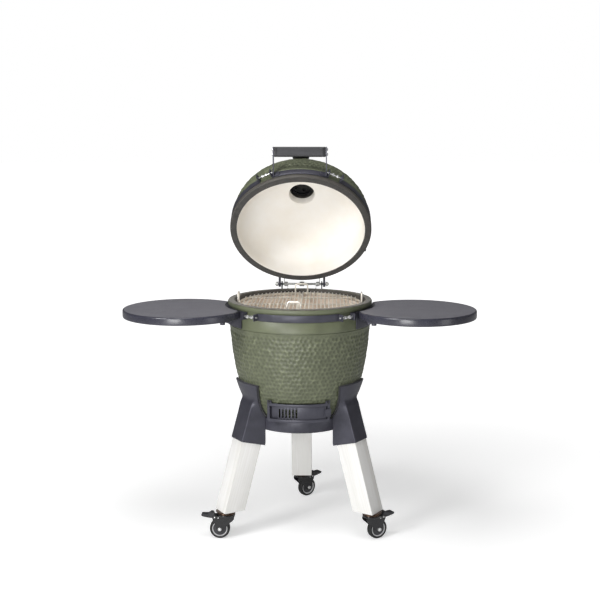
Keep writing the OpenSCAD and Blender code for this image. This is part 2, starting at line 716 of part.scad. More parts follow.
module handle_bar() color("#2B2B2E") difference() {
    on_handle() {
        edge = 4;
        cube([2 * handle_half, handle_long - 2 * edge, handle_short], center = true);
        cube([2 * handle_half, handle_long, handle_short - 2 * edge], center = true);
        for (s = [-1, 1], t = [-1, 1])
            translate([0, s * (handle_long / 2 - edge), t * (handle_short / 2 - edge)])
                rotate([0, 90, 0]) cylinder(h = 2 * handle_half, r = edge, center = true, $fn = 32);
    }
    handle_screw_shanks(2.6);
}

module handle_brackets() color(graphite) difference() {
    on_lid() for (s = [-1, 1]) {
        side_plate(s * (handle_half + 2.3), 4, [
            [-262, band_u_lo + 1], [-251.3, band_u_lo + 1], [-251.3, band_u_hi - 1], [-304, 90],
            [-314, 101], [-322, 103], [-338, 87], [-337, 79]
        ]);
        arc_plate(bowl_r + 4.8, bowl_r + 7.8, band_u_lo + 2, band_u_hi - 2, front + s * 18.9, 2.6);
    }
    handle_screw_shanks(2.6);
    on_lid() for (s = [-1, 1]) clamp_bolt(front + s * upper_clamp_az, (band_u_lo + band_u_hi) / 2, 3.2);
}

module handle_screws() color("silver") {
    handle_screw_shanks(2.4);
    on_handle() for (s = [-1, 1], t = [-1, 1])
        translate([s * (handle_half + 6.3), t * 9, 0]) rotate([0, 90, 0])
            cylinder(h = 4, r = 5, center = true, $fn = 32);
}

// Plate with two studs on the right of the lid's band.
module lid_catch() color(black) on_lid() {
    arc_plate(bowl_r + 4.8, bowl_r + 7.5, band_u_lo + 2, band_u_hi - 2, 32.5, 7);
    for (az = [28, 37]) rotate([0, 0, az]) translate([bowl_r + 6, 0, (band_u_lo + band_u_hi) / 2])
        rotate([0, 90, 0]) {
            cylinder(h = 8, r = 3.5, $fn = 32);
            translate([0, 0, 7]) cylinder(h = 7, r = 6, $fn = 32);
        }
}

// ---- Thermometer ----

thermo_reach = 202;
thermo_tilt = 41.3;

module on_thermometer()
    translate([0, -thermo_reach, dome_u + dome_rise * sqrt(1 - pow(thermo_reach / bowl_r, 2))])
        rotate([thermo_tilt, 0, 0]) children();

module thermometer_case() color(black) on_lid() on_thermometer() {
    difference() {
        translate([0, 0, 1.5]) cylinder(h = 16, r = 32);
        translate([0, 0, 14.5]) cylinder(h = 8, r = 28.4);
    }
    translate([0, 0, -58]) cylinder(h = 60, r = 4, $fn = 32);
}

module thermometer_dial() color("white") on_lid() on_thermometer()
    translate([0, 0, 14.5]) cylinder(h = 1.6, r = 28);

// ---- Top vent ----

vent_u = 266;
vent_pivot_y = 78;
petal_reach = 27;
petal_r = 8;

module vent_petals(turn)
    for (i = [0:petals - 1]) rotate([0, 0, turn + i * 360 / petals])
        translate([petal_reach, 0, vent_u - 20]) cylinder(h = 60, r = petal_r, $fn = 32);

module vent_collar() color(black) on_lid() {
    rotate_extrude() polygon([
        [neck_r + 0.6, 247], [neck_r + 8, 247], [neck_r + 8, vent_u],
        [vent_r - 3, vent_u], [vent_r - 3, 258.5], [neck_r + 0.6, 258.5]
    ]);
    translate([0, vent_pivot_y, vent_u - 8]) cylinder(h = 8, r = 11);
    translate([0, vent_pivot_y, vent_u - 1]) cylinder(h = 16, r = 4, $fn = 48);
    translate([0, vent_pivot_y, vent_u + 9]) cylinder(h = 6, r = 7.5, $fn = 6);
}

// Disc that swings aside on its pivot; a turning daisy wheel lies on it.
module vent_cap() color(black) on_lid() {
    difference() {
        union() {
            translate([0, 0, vent_u + 0.5]) cylinder(h = 7.5, r = neck_r + 12);
            translate([0, vent_pivot_y, vent_u + 0.5]) cylinder(h = 7.5, r = 12);
        }
        translate([0, vent_pivot_y, vent_u - 2]) cylinder(h = 20, r = 4 + running, $fn = 48);
        vent_petals(0);
    }
    translate([0, 0, vent_u + 7]) cylinder(h = 12, r = 4, $fn = 48);
    translate([0, 0, vent_u + 13.8]) cylinder(h = 5, r = 8, $fn = 6);
}

module daisy_wheel() color(black) on_lid() {
    difference() {
        translate([0, 0, vent_u + 8.5]) cylinder(h = 4.8, r = neck_r - 4);
        translate([0, 0, vent_u]) cylinder(h = 30, r = 4 + running, $fn = 48);
        vent_petals(180 / petals);
    }
    rotate([0, 0, -60]) translate([48, 0, vent_u + 12.8]) cylinder(h = 15, r = 6.5, $fn = 32);
}

base_bowl();
base_gasket();
firebox();
fire_ring();
charcoal_grate();
rack_frame();
grid_left();
grid_right();
lower_band_front();
lower_band_rear();
lower_band_bolts();
lower_hinge_bracket();
hinge_pin();
hinge_spring_left();
hinge_spring_right();
draft_frame();
draft_screen();
draft_screws();
draft_door();
stand_ring();
leg_bracket_front_left();
leg_bracket_front_right();
leg_bracket_rear();
cradle_pads();
stand_bolts();
leg_front_left();
leg_front_right();
leg_rear();
caster_plates();
shelf_bracket_left();
shelf_bracket_right();
dome();
lid_gasket();
upper_band_front();
upper_band_rear();
upper_band_bolts();
upper_hinge_bracket();
handle_bar();
handle_brackets();
handle_screws();
lid_catch();
thermometer_case();
thermometer_dial();
vent_collar();
vent_cap();
daisy_wheel();
shelf_hinge_left();
shelf_hinge_right();
shelf_left();
shelf_right();
fork_front_left();
fork_front_right();
fork_rear();
wheel_front_left();
wheel_front_right();
wheel_rear();
brake_front_left();
brake_front_right();
brake_rear();
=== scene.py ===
"""Kamado ceramic grill on a three-legged stand, dressed round its CAD frame.

Sizes are in millimetres and become metres when a mesh is made. Every shape is worked out as whole
numpy arrays and then moved by a 4 x 4 placement into the frame's own coordinates.
"""

from __future__ import annotations

import json
import logging
import math
from dataclasses import dataclass, field
from enum import Enum
from typing import Any, Iterable, Sequence

import bmesh
import bpy
import numpy as np
from mathutils import Matrix

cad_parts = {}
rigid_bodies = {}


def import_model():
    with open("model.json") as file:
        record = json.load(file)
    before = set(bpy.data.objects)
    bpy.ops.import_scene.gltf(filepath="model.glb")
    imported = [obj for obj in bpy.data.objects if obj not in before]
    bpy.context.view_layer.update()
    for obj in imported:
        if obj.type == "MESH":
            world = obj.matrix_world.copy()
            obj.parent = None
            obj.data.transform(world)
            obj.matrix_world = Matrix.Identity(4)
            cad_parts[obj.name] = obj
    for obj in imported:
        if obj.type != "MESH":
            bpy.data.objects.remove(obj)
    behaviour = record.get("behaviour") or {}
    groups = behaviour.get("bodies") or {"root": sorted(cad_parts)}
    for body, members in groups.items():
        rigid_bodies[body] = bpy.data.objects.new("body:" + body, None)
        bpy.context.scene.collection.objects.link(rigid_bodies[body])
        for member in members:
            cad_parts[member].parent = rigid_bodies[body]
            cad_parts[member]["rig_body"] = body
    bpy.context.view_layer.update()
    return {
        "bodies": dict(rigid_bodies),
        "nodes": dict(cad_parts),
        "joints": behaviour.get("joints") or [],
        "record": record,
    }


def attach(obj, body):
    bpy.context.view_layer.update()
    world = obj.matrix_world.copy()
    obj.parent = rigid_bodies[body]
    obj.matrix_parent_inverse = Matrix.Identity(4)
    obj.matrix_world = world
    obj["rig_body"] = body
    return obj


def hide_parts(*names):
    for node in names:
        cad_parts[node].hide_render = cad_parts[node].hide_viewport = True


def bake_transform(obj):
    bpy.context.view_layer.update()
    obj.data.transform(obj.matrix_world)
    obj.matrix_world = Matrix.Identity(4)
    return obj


LOG = logging.getLogger("kamado")
MM = 0.001
NOISE_LOW, NOISE_HIGH = 0.3, 0.7
PLAIN_RELIEF = 0.52
Array = np.ndarray


# ---------------------------------------------------------------- colours and shader nodes


def linear(hex_colour: str) -> tuple[float, float, float, float]:
    """Turns an sRGB hex colour into the linear colour that a shader takes.

    Args:
        hex_colour: Six hex digits, with or without a leading #.

    Returns:
        Linear red, green and blue, and an alpha of 1.
    """
    digits = hex_colour.lstrip("#")
    srgb = np.array([int(digits[i:i + 2], 16) for i in (0, 2, 4)]) / 255.0
    out = np.where(srgb <= 0.04045, srgb / 12.92, ((srgb + 0.055) / 1.055) ** 2.4)
    return (float(out[0]), float(out[1]), float(out[2]), 1.0)


def add(tree: bpy.types.NodeTree, kind: str, inputs: dict[Any, Any] | None = None, **settings: Any) -> Any:
    """Adds one node to a material, with its settings, its values and its links.

    Args:
        tree: The material's node tree.
        kind: The node's type, such as ShaderNodeTexNoise.
        inputs: For each input, by name or number, a value or the output that is linked to it. A
            Map Range takes its From and To limits as 1 to 4, and a colour Mix takes its factor as
            0 and its two colours as 6 and 7.
        settings: The node's own properties. The property stops fills a colour ramp with
            (position, colour) pairs.

    Returns:
        The new node.
    """
    made = tree.nodes.new(kind)
    stops = settings.pop("stops", None)
    for key, value in settings.items():
        setattr(made, key, value)
    if stops:
        ramp = made.color_ramp.elements
        while len(ramp) < len(stops):
            ramp.new(1.0)
        for element, (position, colour) in zip(ramp, stops):
            element.position = position
            element.color = colour
    for key, value in (inputs or {}).items():
        if isinstance(value, bpy.types.NodeSocket):
            tree.links.new(value, made.inputs[key])
        else:
            made.inputs[key].default_value = value
    return made


def blank(name: str) -> bpy.types.Material:
    """New material of that name, whose node tree is empty."""
    made = bpy.data.materials.new(name)
    made.use_nodes = True
    made.node_tree.nodes.clear()
    return made


def per_metre(size_mm: float) -> float:
    """Texture scale at which one feature of a noise or a cell pattern is size_mm across."""
    return 1000.0 / size_mm


# ---------------------------------------------------------------- finishes


@dataclass(frozen=True)
class Finish:
    """A finish with soft variation of tone, a fine grain in its relief and an uneven gloss.

    Two noises do the work: a broad one blends the shade and the tint, and a fine one lifts the
    surface and changes its roughness, each at a real size in millimetres.
    """

    name: str
    slot: str
    shade: str
    tint: str
    roughness: float
    patch_mm: float = 60.0
    grain_mm: float = 1.5
    relief_mm: float = 0.05
    uneven: float = 0.08
    metallic: float = 0.0
    ior: float = 1.5
    coat: float = 0.0
    coat_roughness: float = 0.1
    sheen: float = 0.0
    stretch: tuple[float, float, float] = (1.0, 1.0, 1.0)
    attribute: str = ""

    def place(self, tree: bpy.types.NodeTree) -> Any:
        """Output with the position that the patterns follow: the object's own, or an attribute."""
        if self.attribute:
            source = add(tree, "ShaderNodeAttribute", attribute_name=self.attribute).outputs["Vector"]
        else:
            source = add(tree, "ShaderNodeTexCoord").outputs["Object"]
        return add(tree, "ShaderNodeMapping", {"Vector": source, "Scale": self.stretch}).outputs["Vector"]

    def tone(self, tree: bpy.types.NodeTree, place: Any) -> Any:
        """Output with the colour: the shade and the tint blended by the broad noise."""
        broad = add(tree, "ShaderNodeTexNoise", {
            "Vector": place, "Scale": per_metre(self.patch_mm), "Detail": 4.0, "Roughness": 0.6})
        return add(tree, "ShaderNodeValToRGB", {"Fac": broad.outputs["Fac"]}, stops=(
            (NOISE_LOW, linear(self.shade)), (NOISE_HIGH, linear(self.tint)))).outputs["Color"]

    def grain(self, tree: bpy.types.NodeTree, place: Any) -> Any:
        """Output with the fine noise, from 0 to 1."""
        return add(tree, "ShaderNodeTexNoise", {
            "Vector": place, "Scale": per_metre(self.grain_mm), "Detail": 3.0}).outputs["Fac"]

    def shader(self, tree: bpy.types.NodeTree) -> Any:
        """Adds the finish's shader with all that feeds it, and returns it."""
        place = self.place(tree)
        grain = self.grain(tree, place)
        gloss = add(tree, "ShaderNodeMapRange", {
            "Value": grain, 1: NOISE_LOW, 2: NOISE_HIGH,
            3: max(0.02, self.roughness - self.uneven), 4: min(1.0, self.roughness + self.uneven)})
        bump = add(tree, "ShaderNodeBump", {
            "Height": grain, "Strength": 1.0, "Distance": self.relief_mm * MM})
        values = {
            "Base Color": self.tone(tree, place), "Roughness": gloss.outputs["Result"],
            "Normal": bump.outputs["Normal"], "Metallic": self.metallic}
        if not self.metallic:
            values["IOR"] = self.ior
        if self.coat:
            values.update({"Coat Weight": self.coat, "Coat Roughness": self.coat_roughness})
        if self.sheen:
            values.update({"Sheen Weight": self.sheen, "Sheen Roughness": 0.6})
        return add(tree, "ShaderNodeBsdfPrincipled", values)

    def material(self) -> bpy.types.Material:
        """Makes the material, or returns it where it has been made already."""
        made = bpy.data.materials.get(self.name)
        if not made:
            made = blank(self.name)
            shader = self.shader(made.node_tree)
            add(made.node_tree, "ShaderNodeOutputMaterial", {"Surface": shader.outputs["BSDF"]})
        return made


@dataclass(frozen=True)
class GlazedCeramic(Finish):
    """Stoneware under a semi-gloss glaze, coloured by the height of its relief: painted shade in the dents
    and a painted highlight on the ridges.
    """

    # Colours and shares of the painted shade in the dents and the painted highlight on the ridges.
    dent_shade_colour: str = "#33372A"
    ridge_highlight_colour: str = "#868B70"
    dent_shade_amount: float = 0.45
    ridge_highlight_amount: float = 0.75

    def tone(self, tree: bpy.types.NodeTree, place: Any) -> Any:
        """Output with the colour: painted shade in the dents, the glaze, and a painted highlight on the
        ridges, picked by the height of the relief.
        """
        glaze = super().tone(tree, place)
        height = add(tree, "ShaderNodeAttribute", attribute_name="relief").outputs["Fac"]
        # Dents get painted shade and ridges a painted highlight.
        low = add(tree, "ShaderNodeMapRange", {"Value": height, 1: 0.0, 2: 0.5, 3: self.dent_shade_amount, 4: 0.0})
        high = add(tree, "ShaderNodeMapRange", {"Value": height, 1: 0.6, 2: 1.0, 3: 0.0, 4: self.ridge_highlight_amount})
        shaded_mix = add(tree, "ShaderNodeMix", {
            0: low.outputs["Result"], 6: glaze, 7: linear(self.dent_shade_colour)}, data_type="RGBA")
        return add(tree, "ShaderNodeMix", {
            0: high.outputs["Result"], 6: shaded_mix.outputs[2], 7: linear(self.ridge_highlight_colour)},
            data_type="RGBA").outputs[2]


@dataclass(frozen=True)
class LimewashedPine(Finish):
    """Softwood with a thin white wash: the grain and a few knots show faintly through it."""

    knot: str = "#B9B2A6"

    def tone(self, tree: bpy.types.NodeTree, place: Any) -> Any:
        """Output with the colour: growth lines along the leg, then scattered pale knots."""
        wash = super().tone(tree, place)
        lines = add(tree, "ShaderNodeTexWave", {
            "Vector": place, "Scale": per_metre(30.0), "Distortion": 9.0, "Detail": 3.0,
            "Detail Scale": 1.2}, wave_type="BANDS", bands_direction="X")
        faint = add(tree, "ShaderNodeMapRange", {
            "Value": lines.outputs["Fac"], 1: 0.0, 2: 0.35, 3: 0.1, 4: 0.0})
        grained = add(tree, "ShaderNodeMix", {
            0: faint.outputs["Result"], 6: wash, 7: linear(self.knot)}, data_type="RGBA")
        cells = add(tree, "ShaderNodeTexVoronoi", {"Vector": place, "Scale": per_metre(88.0)})
        spot = add(tree, "ShaderNodeMapRange", {
            "Value": cells.outputs["Distance"], 1: 0.03, 2: 0.11, 3: 0.45, 4: 0.0})
        return add(tree, "ShaderNodeMix", {
            0: spot.outputs["Result"], 6: grained.outputs[2], 7: linear(self.knot)},
            data_type="RGBA").outputs[2]


@dataclass(frozen=True)
class MottledLaminate(Finish):
    """Sheet laminate with a stone print: small pale and dark flecks over a grey ground."""

    fleck: str = "#8E8D94"
    fleck_mm: float = 7.0

    def tone(self, tree: bpy.types.NodeTree, place: Any) -> Any:
        """Output with the colour: the ground with flecks of two sizes."""
        ground = super().tone(tree, place)
        fine = add(tree, "ShaderNodeTexNoise", {
            "Vector": place, "Scale": per_metre(self.fleck_mm), "Detail": 6.0, "Roughness": 0.75})
        share = add(tree, "ShaderNodeMapRange", {"Value": fine.outputs["Fac"], 1: 0.48, 2: 0.7, 4: 0.45})
        return add(tree, "ShaderNodeMix", {
            0: share.outputs["Result"], 6: ground, 7: linear(self.fleck)}, data_type="RGBA").outputs[2]


@dataclass(frozen=True)
class ClearGlass(Finish):
    """Float glass: clear and smooth, so it gives the eye only its reflections."""

    def shader(self, tree: bpy.types.NodeTree) -> Any:
        """Adds the glass's shader, which has no pattern, and returns it."""
        return add(tree, "ShaderNodeBsdfPrincipled", {
            "Base Color": linear(self.tint), "Roughness": self.roughness, "IOR": self.ior,
            "Transmission Weight": 1.0})


# Glazed stoneware, moulded with a hammered skin: its ridges are painted lighter and its dents darker, as
# painted highlight and shade.
GLAZE = GlazedCeramic(
    "glazed_stoneware_olive", "olive_ceramic", "#585D48", "#686D55", 0.46, patch_mm=90, grain_mm=2.5,
    relief_mm=0.12, uneven=0.1, ior=1.5, coat=0.12, coat_roughness=0.35)
# The same stoneware in a darker umber: painted shade on the lid's flange, in the vent's bore and on a band
# inside the bowl's rim.
SHADE_GLAZE = GlazedCeramic(
    "glazed_stoneware_shade_umber", "olive_ceramic", "#3F3C38", "#4D4A45", 0.55, patch_mm=60, grain_mm=2.0,
    relief_mm=0.12, uneven=0.1)
# Bare fired clay inside the lid, cast and sponged smooth: matt cream with the faintest clouds.
BISQUE = Finish(
    "bisque_ceramic_cream", "fireclay", "#F7F2E9", "#FDFBF7", 0.82, patch_mm=140, grain_mm=1.2,
    relief_mm=0.06, uneven=0.05)
# Pressed fireclay of the firebox and fire ring: warm beige, open and gritty.
FIRECLAY = Finish(
    "pressed_fireclay_beige", "fireclay", "#F0E0D0", "#FAF0E4", 0.9, patch_mm=45, grain_mm=1.6,
    relief_mm=0.25, uneven=0.05)
# Needled felt, cut in a strip and pressed on the lid's rim: soft, dull and slightly fuzzy.
FELT = Finish(
    "needled_felt_grey_brown", "felt", "#292623", "#393632", 0.95, patch_mm=18, grain_mm=1.1,
    relief_mm=0.35, uneven=0.04, sheen=0.35)
# The same strip on the bowl's rim, greyed by ash and use: a paler brownish grey.
RIM_FELT = Finish(
    "needled_felt_ash_grey", "felt", "#4A463E", "#6A675B", 0.93, patch_mm=22, grain_mm=1.1,
    relief_mm=0.3, uneven=0.04, sheen=0.25)
# Dyed felt between the bowl and its stand: black, with no gloss at all.
PAD_FELT = Finish(
    "needled_felt_black", "felt", "#17171A", "#26262A", 0.95, patch_mm=18, grain_mm=1.1,
    relief_mm=0.3, uneven=0.04, sheen=0.2)
# Steel under a graphite powder coat: satin, with a fine orange peel and a slight metallic sparkle.
GRAPHITE = Finish(
    "powder_coated_steel_graphite", "graphite_coat", "#3C3C45", "#4B4B55", 0.42, patch_mm=80,
    grain_mm=1.8, relief_mm=0.05, uneven=0.09, metallic=0.35)
# Drawn stainless wire, electropolished: coloured a bright warm cream as painted light, so the grid reads as
# lit, with a soft highlight.
WIRE = Finish(
    "stainless_wire_polished", "stainless", "#EDE7DC", "#FAF6EE", 0.34, patch_mm=30, grain_mm=0.9,
    relief_mm=0.02, uneven=0.07, metallic=0.65)
# Cold-headed fasteners, plated in bright zinc: small, hard highlights.
ZINC = Finish(
    "zinc_plated_steel_bright", "bright_bolts", "#C9CACB", "#EDEDEC", 0.25, patch_mm=9, grain_mm=0.8,
    relief_mm=0.02, uneven=0.07, metallic=0.85)
# Hard-drawn steel under clear oil, for the springs and their pin: bright, with a sharp line of light.
SPRING = Finish(
    "spring_steel_oiled", "spring_steel", "#CFCFCD", "#EAE9E6", 0.26, patch_mm=8, grain_mm=0.7,
    relief_mm=0.02, uneven=0.06, metallic=0.5)
# Sand-cast iron, seasoned black: sandy skin and a dull, greasy gloss.
CAST_IRON = Finish(
    "cast_iron_seasoned", "grate_iron", "#26241F", "#3A3732", 0.62, patch_mm=25, grain_mm=1.4,
    relief_mm=0.3, uneven=0.12, metallic=0.55)
# Cast iron with a finer skin, blackened: nearly black, with a satin edge to its highlights.
VENT_IRON = Finish(
    "cast_iron_blackened", "vent_iron", "#1B1B1C", "#2C2C2E", 0.5, patch_mm=30, grain_mm=1.6,
    relief_mm=0.2, uneven=0.1, metallic=0.45)
# Planed pine with a white wash, matt-varnished: nearly white, grain along the leg.
PINE = LimewashedPine(
    "limewashed_pine_varnished", "white_wood", "#E1E0DC", "#EBEAE8", 0.55, patch_mm=26, grain_mm=1.3,
    relief_mm=0.06, uneven=0.08, stretch=(1.0, 1.0, 0.09), attribute="own_place")
# High-pressure laminate on the shelves, pressed with a fine matt texture.
LAMINATE = MottledLaminate(
    "pressure_laminate_stone_grey", "shelf_board", "#6D6C73", "#79787F", 0.46, patch_mm=55,
    grain_mm=2.2, relief_mm=0.05, uneven=0.1)
# Moulded edge band of the shelves: smooth polymer with a soft gloss, its dark colour painted shade on the
# upright edge and the underside.
DARK_SHADE_BAND = Finish(
    "polymer_band_painted_shade", "shelf_board", "#2C2C36", "#3B3B47", 0.3, patch_mm=120, grain_mm=3.0,
    relief_mm=0.03, uneven=0.07, coat=0.3, coat_roughness=0.2)
# Wood-flour composite of the handle: extruded, so faint streaks run along the bar.
GRIP = Finish(
    "wood_composite_charcoal", "handle_grip", "#2C2C2F", "#363639", 0.52, patch_mm=9, grain_mm=1.2,
    relief_mm=0.12, uneven=0.1, stretch=(0.08, 1.0, 1.0), attribute="own_place")
# Moulded nylon end caps of the handle: black, smoother than the bar between them.
GRIP_END = Finish(
    "moulded_nylon_black", "handle_grip", "#1C1C1F", "#29292C", 0.4, patch_mm=20, grain_mm=1.4,
    relief_mm=0.05, uneven=0.08)
# Caster race in bronzed steel, pressed and dipped: a brown sheen with a hard highlight.
BRONZED = Finish(
    "bronzed_steel_pressed", "caster_steel", "#43352D", "#6A5446", 0.24, patch_mm=22, grain_mm=1.2,
    relief_mm=0.04, uneven=0.1, metallic=0.85)
# Caster fork: pressed steel in black stoving enamel, semi-gloss.
ENAMEL = Finish(
    "stoved_enamel_black", "caster_black", "#111113", "#1B1B1E", 0.26, patch_mm=30, grain_mm=1.6,
    relief_mm=0.04, uneven=0.08, coat=0.3, coat_roughness=0.18)
# Moulded rubber tyre: deep matt black that greys a little with dust.
RUBBER = Finish(
    "moulded_rubber_black", "caster_tyre", "#0F0F10", "#19191A", 0.6, patch_mm=14, grain_mm=0.9,
    relief_mm=0.06, uneven=0.1)
# Polypropylene wheel centre, injection moulded: charcoal with a satin skin.
WHEEL_CORE = Finish(
    "polypropylene_charcoal", "caster_tyre", "#2E2E31", "#3C3C40", 0.4, patch_mm=16, grain_mm=1.0,
    relief_mm=0.03, uneven=0.06)
# The raised ring of the same moulding: pale grey, a little glossier.
WHEEL_RING = Finish(
    "polypropylene_pale_grey", "caster_tyre", "#B4B4B6", "#CFCFD0", 0.35, patch_mm=16, grain_mm=1.0,
    relief_mm=0.03, uneven=0.06)
# Glass-filled nylon brake pedal: charcoal, with a slightly grainy moulded skin.
PEDAL = Finish(
    "glass_filled_nylon_charcoal", "brake_plastic", "#232326", "#333337", 0.36, patch_mm=18,
    grain_mm=1.0, relief_mm=0.08, uneven=0.08)
# Enamelled dial: glossy white vitreous enamel, baked on.
DIAL = Finish(
    "vitreous_enamel_white", "dial_face", "#EFEFEA", "#F8F8F5", 0.25, patch_mm=20, grain_mm=1.0,
    relief_mm=0.01, uneven=0.04)
# Screen-printed ink of the dial's marks: flat black.
DIAL_INK = Finish(
    "screen_ink_black", "dial_face", "#1A1A1A", "#242424", 0.5, patch_mm=6, grain_mm=0.6, relief_mm=0.01)
# Sprayed lacquer of the needle: clear red with a soft gloss.
NEEDLE_PAINT = Finish(
    "needle_lacquer_red", "dial_face", "#A3201A", "#B8302A", 0.35, patch_mm=6, grain_mm=0.6,
    relief_mm=0.01)
# Pressed disc of float glass over the dial.
LENS = ClearGlass("float_glass_clear", "dial_face", "#FFFFFF", "#FFFFFF", 0.02, ior=1.52)


# ---------------------------------------------------------------- placements


def shift(x: float = 0.0, y: float = 0.0, z: float = 0.0) -> Array:
    """Placement that moves by x, y and z."""
    return np.array(Matrix.Translation((x, y, z)))


def turn(degrees: float, axis: str) -> Array:
    """Placement that turns by that angle about the axis X, Y or Z."""
    return np.array(Matrix.Rotation(math.radians(degrees), 4, axis))


def mirrored(side: int) -> Array:
    """Placement that mirrors left to right where side is -1."""
    return np.diag([float(side), 1.0, 1.0, 1.0])


GRILL = shift(y=-28.0)
LID_OPEN = 52.2
HINGE_BACK = 300.0
HINGE_Z = 890.0
LID_RIM_Z = 881.4
LID = (GRILL @ shift(y=HINGE_BACK, z=HINGE_Z) @ turn(-LID_OPEN, "X")
       @ shift(y=-HINGE_BACK, z=LID_RIM_Z - HINGE_Z))


# ---------------------------------------------------------------- shapes


@dataclass
class Shell:
    """A mesh before it is placed: points in millimetres, faces, and what varies over them."""

    points: Array
    faces: list[Sequence[int]]
    finish_of: Array | None = None
    point_values: dict[str, Array] = field(default_factory=dict)

    def placed(self, place: Array) -> Shell:
        """The same shell moved by a placement."""
        moved = self.points @ place[:3, :3].T + place[:3, 3]
        return Shell(moved, self.faces, self.finish_of, self.point_values)


def joined(shells: Iterable[Shell]) -> Shell:
    """Lays several shells into one.

    Args:
        shells: The shells, whose faces keep their own points.

    Returns:
        One shell with all their points and faces.
    """
    points: list[Array] = []
    faces: list[Sequence[int]] = []
    start = 0
    for shell in shells:
        points.append(shell.points)
        faces.extend([[start + i for i in face] for face in shell.faces])
        start += len(shell.points)
    return Shell(np.concatenate(points), faces)


def skin(rings: Array, loop: bool = False, caps: str = "flat") -> Shell:
    """Joins closed rings of points into a tube of four-sided faces.

    Args:
        rings: Points as (ring, place round the ring, xyz).
        loop: Whether the last ring joins the first.
        caps: "flat" closes each end with one face, "strip" folds it shut across its width, and
            "open" leaves it.

    Returns:
        The shell.
    """
    count, around = rings.shape[:2]
    index = np.arange(count * around).reshape(count, around)
    ahead = np.roll(index, -1, axis=0) if loop else index[1:]
    here = index if loop else index[:-1]
    quads = np.stack([here, np.roll(here, -1, 1), np.roll(ahead, -1, 1), ahead], axis=-1).reshape(-1, 4)
    faces: list[Sequence[int]] = quads.tolist()
    if not loop and caps == "flat":
        faces += [index[0, ::-1].tolist(), index[-1].tolist()]
    if not loop and caps == "strip":
        near = np.arange(around // 2 - 1)
        far = around - 1 - near
        for row in (index[0], index[-1]):
            faces += np.stack([row[near], row[near + 1], row[far - 1], row[far]], axis=-1).tolist()
    return Shell(rings.reshape(-1, 3), faces)


def turned(profile: Array, steps: int = 64, loop: bool = True) -> Shell:
    """Turns a profile round Z: each point (r, z) becomes a circle of radius r at height z.

    Args:
        profile: Points (r, z).
        steps: Points round each circle.
        loop: Whether the profile is closed. An open one is shut by a flat face at each end.

    Returns:
        The shell.
    """
    angle = np.linspace(0.0, 2.0 * np.pi, steps, endpoint=False)
    r, z = np.asarray(profile, float).T
    rings = np.stack([np.outer(r, np.cos(angle)), np.outer(r, np.sin(angle)),
                      np.repeat(z[:, None], steps, 1)], axis=-1)
    return skin(rings, loop=loop)


def tube(path: Array, radius: float, sides: int = 10, loop: bool = False,
         up: Sequence[float] = (0.0, 0.0, 1.0)) -> Shell:
    """Carries a circle along a path, square to the path's direction at each point.

    Args:
        path: Points along the middle of the wire.
        radius: The wire's radius.
        sides: Points round the wire.
        loop: Whether the path is closed.
        up: A direction that the path never runs along.

    Returns:
        The shell.
    """
    path = np.asarray(path, float)
    if loop:
        along = np.roll(path, -1, 0) - np.roll(path, 1, 0)
    else:
        along = np.gradient(path, axis=0)
    along /= np.linalg.norm(along, axis=1, keepdims=True)
    side = np.cross(along, np.asarray(up, float))
    side /= np.linalg.norm(side, axis=1, keepdims=True)
    other = np.cross(side, along)
    angle = np.linspace(0.0, 2.0 * np.pi, sides, endpoint=False)[None, :, None]
    rings = path[:, None] + radius * (np.cos(angle) * side[:, None] + np.sin(angle) * other[:, None])
    return skin(rings, loop=loop)


def rounded(corners: Array, reach: float, steps: int = 6, loop: bool = False) -> Array:
    """Rounds the corners of a path with short quadratic curves.

    Args:
        corners: The path's corners, in two or three dimensions.
        reach: How far from each corner its curve begins.
        steps: Points along each curve.
        loop: Whether the path is closed.

    Returns:
        The points of the rounded path.
    """
    corners = np.asarray(corners, float)
    before = np.roll(corners, 1, 0) - corners
    after = np.roll(corners, -1, 0) - corners
    back = np.linalg.norm(before, axis=1, keepdims=True)
    ahead = np.linalg.norm(after, axis=1, keepdims=True)
    start = corners + before / back * np.minimum(reach, back * 0.48)
    end = corners + after / ahead * np.minimum(reach, ahead * 0.48)
    t = np.linspace(0.0, 1.0, steps)[None, :, None]
    curves = (1 - t) ** 2 * start[:, None] + 2 * t * (1 - t) * corners[:, None] + t ** 2 * end[:, None]
    if loop:
        return curves.reshape(-1, corners.shape[1])
    middle = curves[1:-1].reshape(-1, corners.shape[1])
    return np.concatenate([corners[:1], middle, corners[-1:]])


def slab(outline: Array, thickness: float) -> Shell:
    """Plate whose outline (x, y) is carried straight through its thickness, half to each side of z = 0."""
    flat = np.asarray(outline, float)
    levels = np.array([-thickness / 2, thickness / 2])
    rings = np.stack([np.column_stack([flat, np.full(len(flat), level)]) for level in levels])
    return skin(rings)


def ellipse(rx: float, rz: float, z: float, start: float, end: float, steps: int) -> Array:
    """Points (r, z) on an ellipse about the axis, from one angle to the other in degrees."""
    angle = np.radians(np.linspace(start, end, steps))
    return np.stack([rx * np.cos(angle), z + rz * np.sin(angle)], axis=1)


def cubic(control: Array, t: Array) -> Array:
    """Points on a cubic curve: its four control points weighted by the Bernstein terms in t."""
    t = np.asarray(t, float)[:, None]
    p = np.asarray(control, float)
    return (1 - t) ** 3 * p[0] + 3 * (1 - t) ** 2 * t * p[1] + 3 * (1 - t) * t ** 2 * p[2] + t ** 3 * p[3]


def even(profile: Array, spacing: float) -> Array:
    """The same open profile with its points that far apart along it."""
    profile = np.asarray(profile, float)
    reach = np.concatenate([[0.0], np.cumsum(np.linalg.norm(np.diff(profile, axis=0), axis=1))])
    places = np.linspace(0.0, reach[-1], max(2, int(round(reach[-1] / spacing)) + 1))
    return np.stack([np.interp(places, reach, profile[:, k]) for k in range(2)], axis=1)


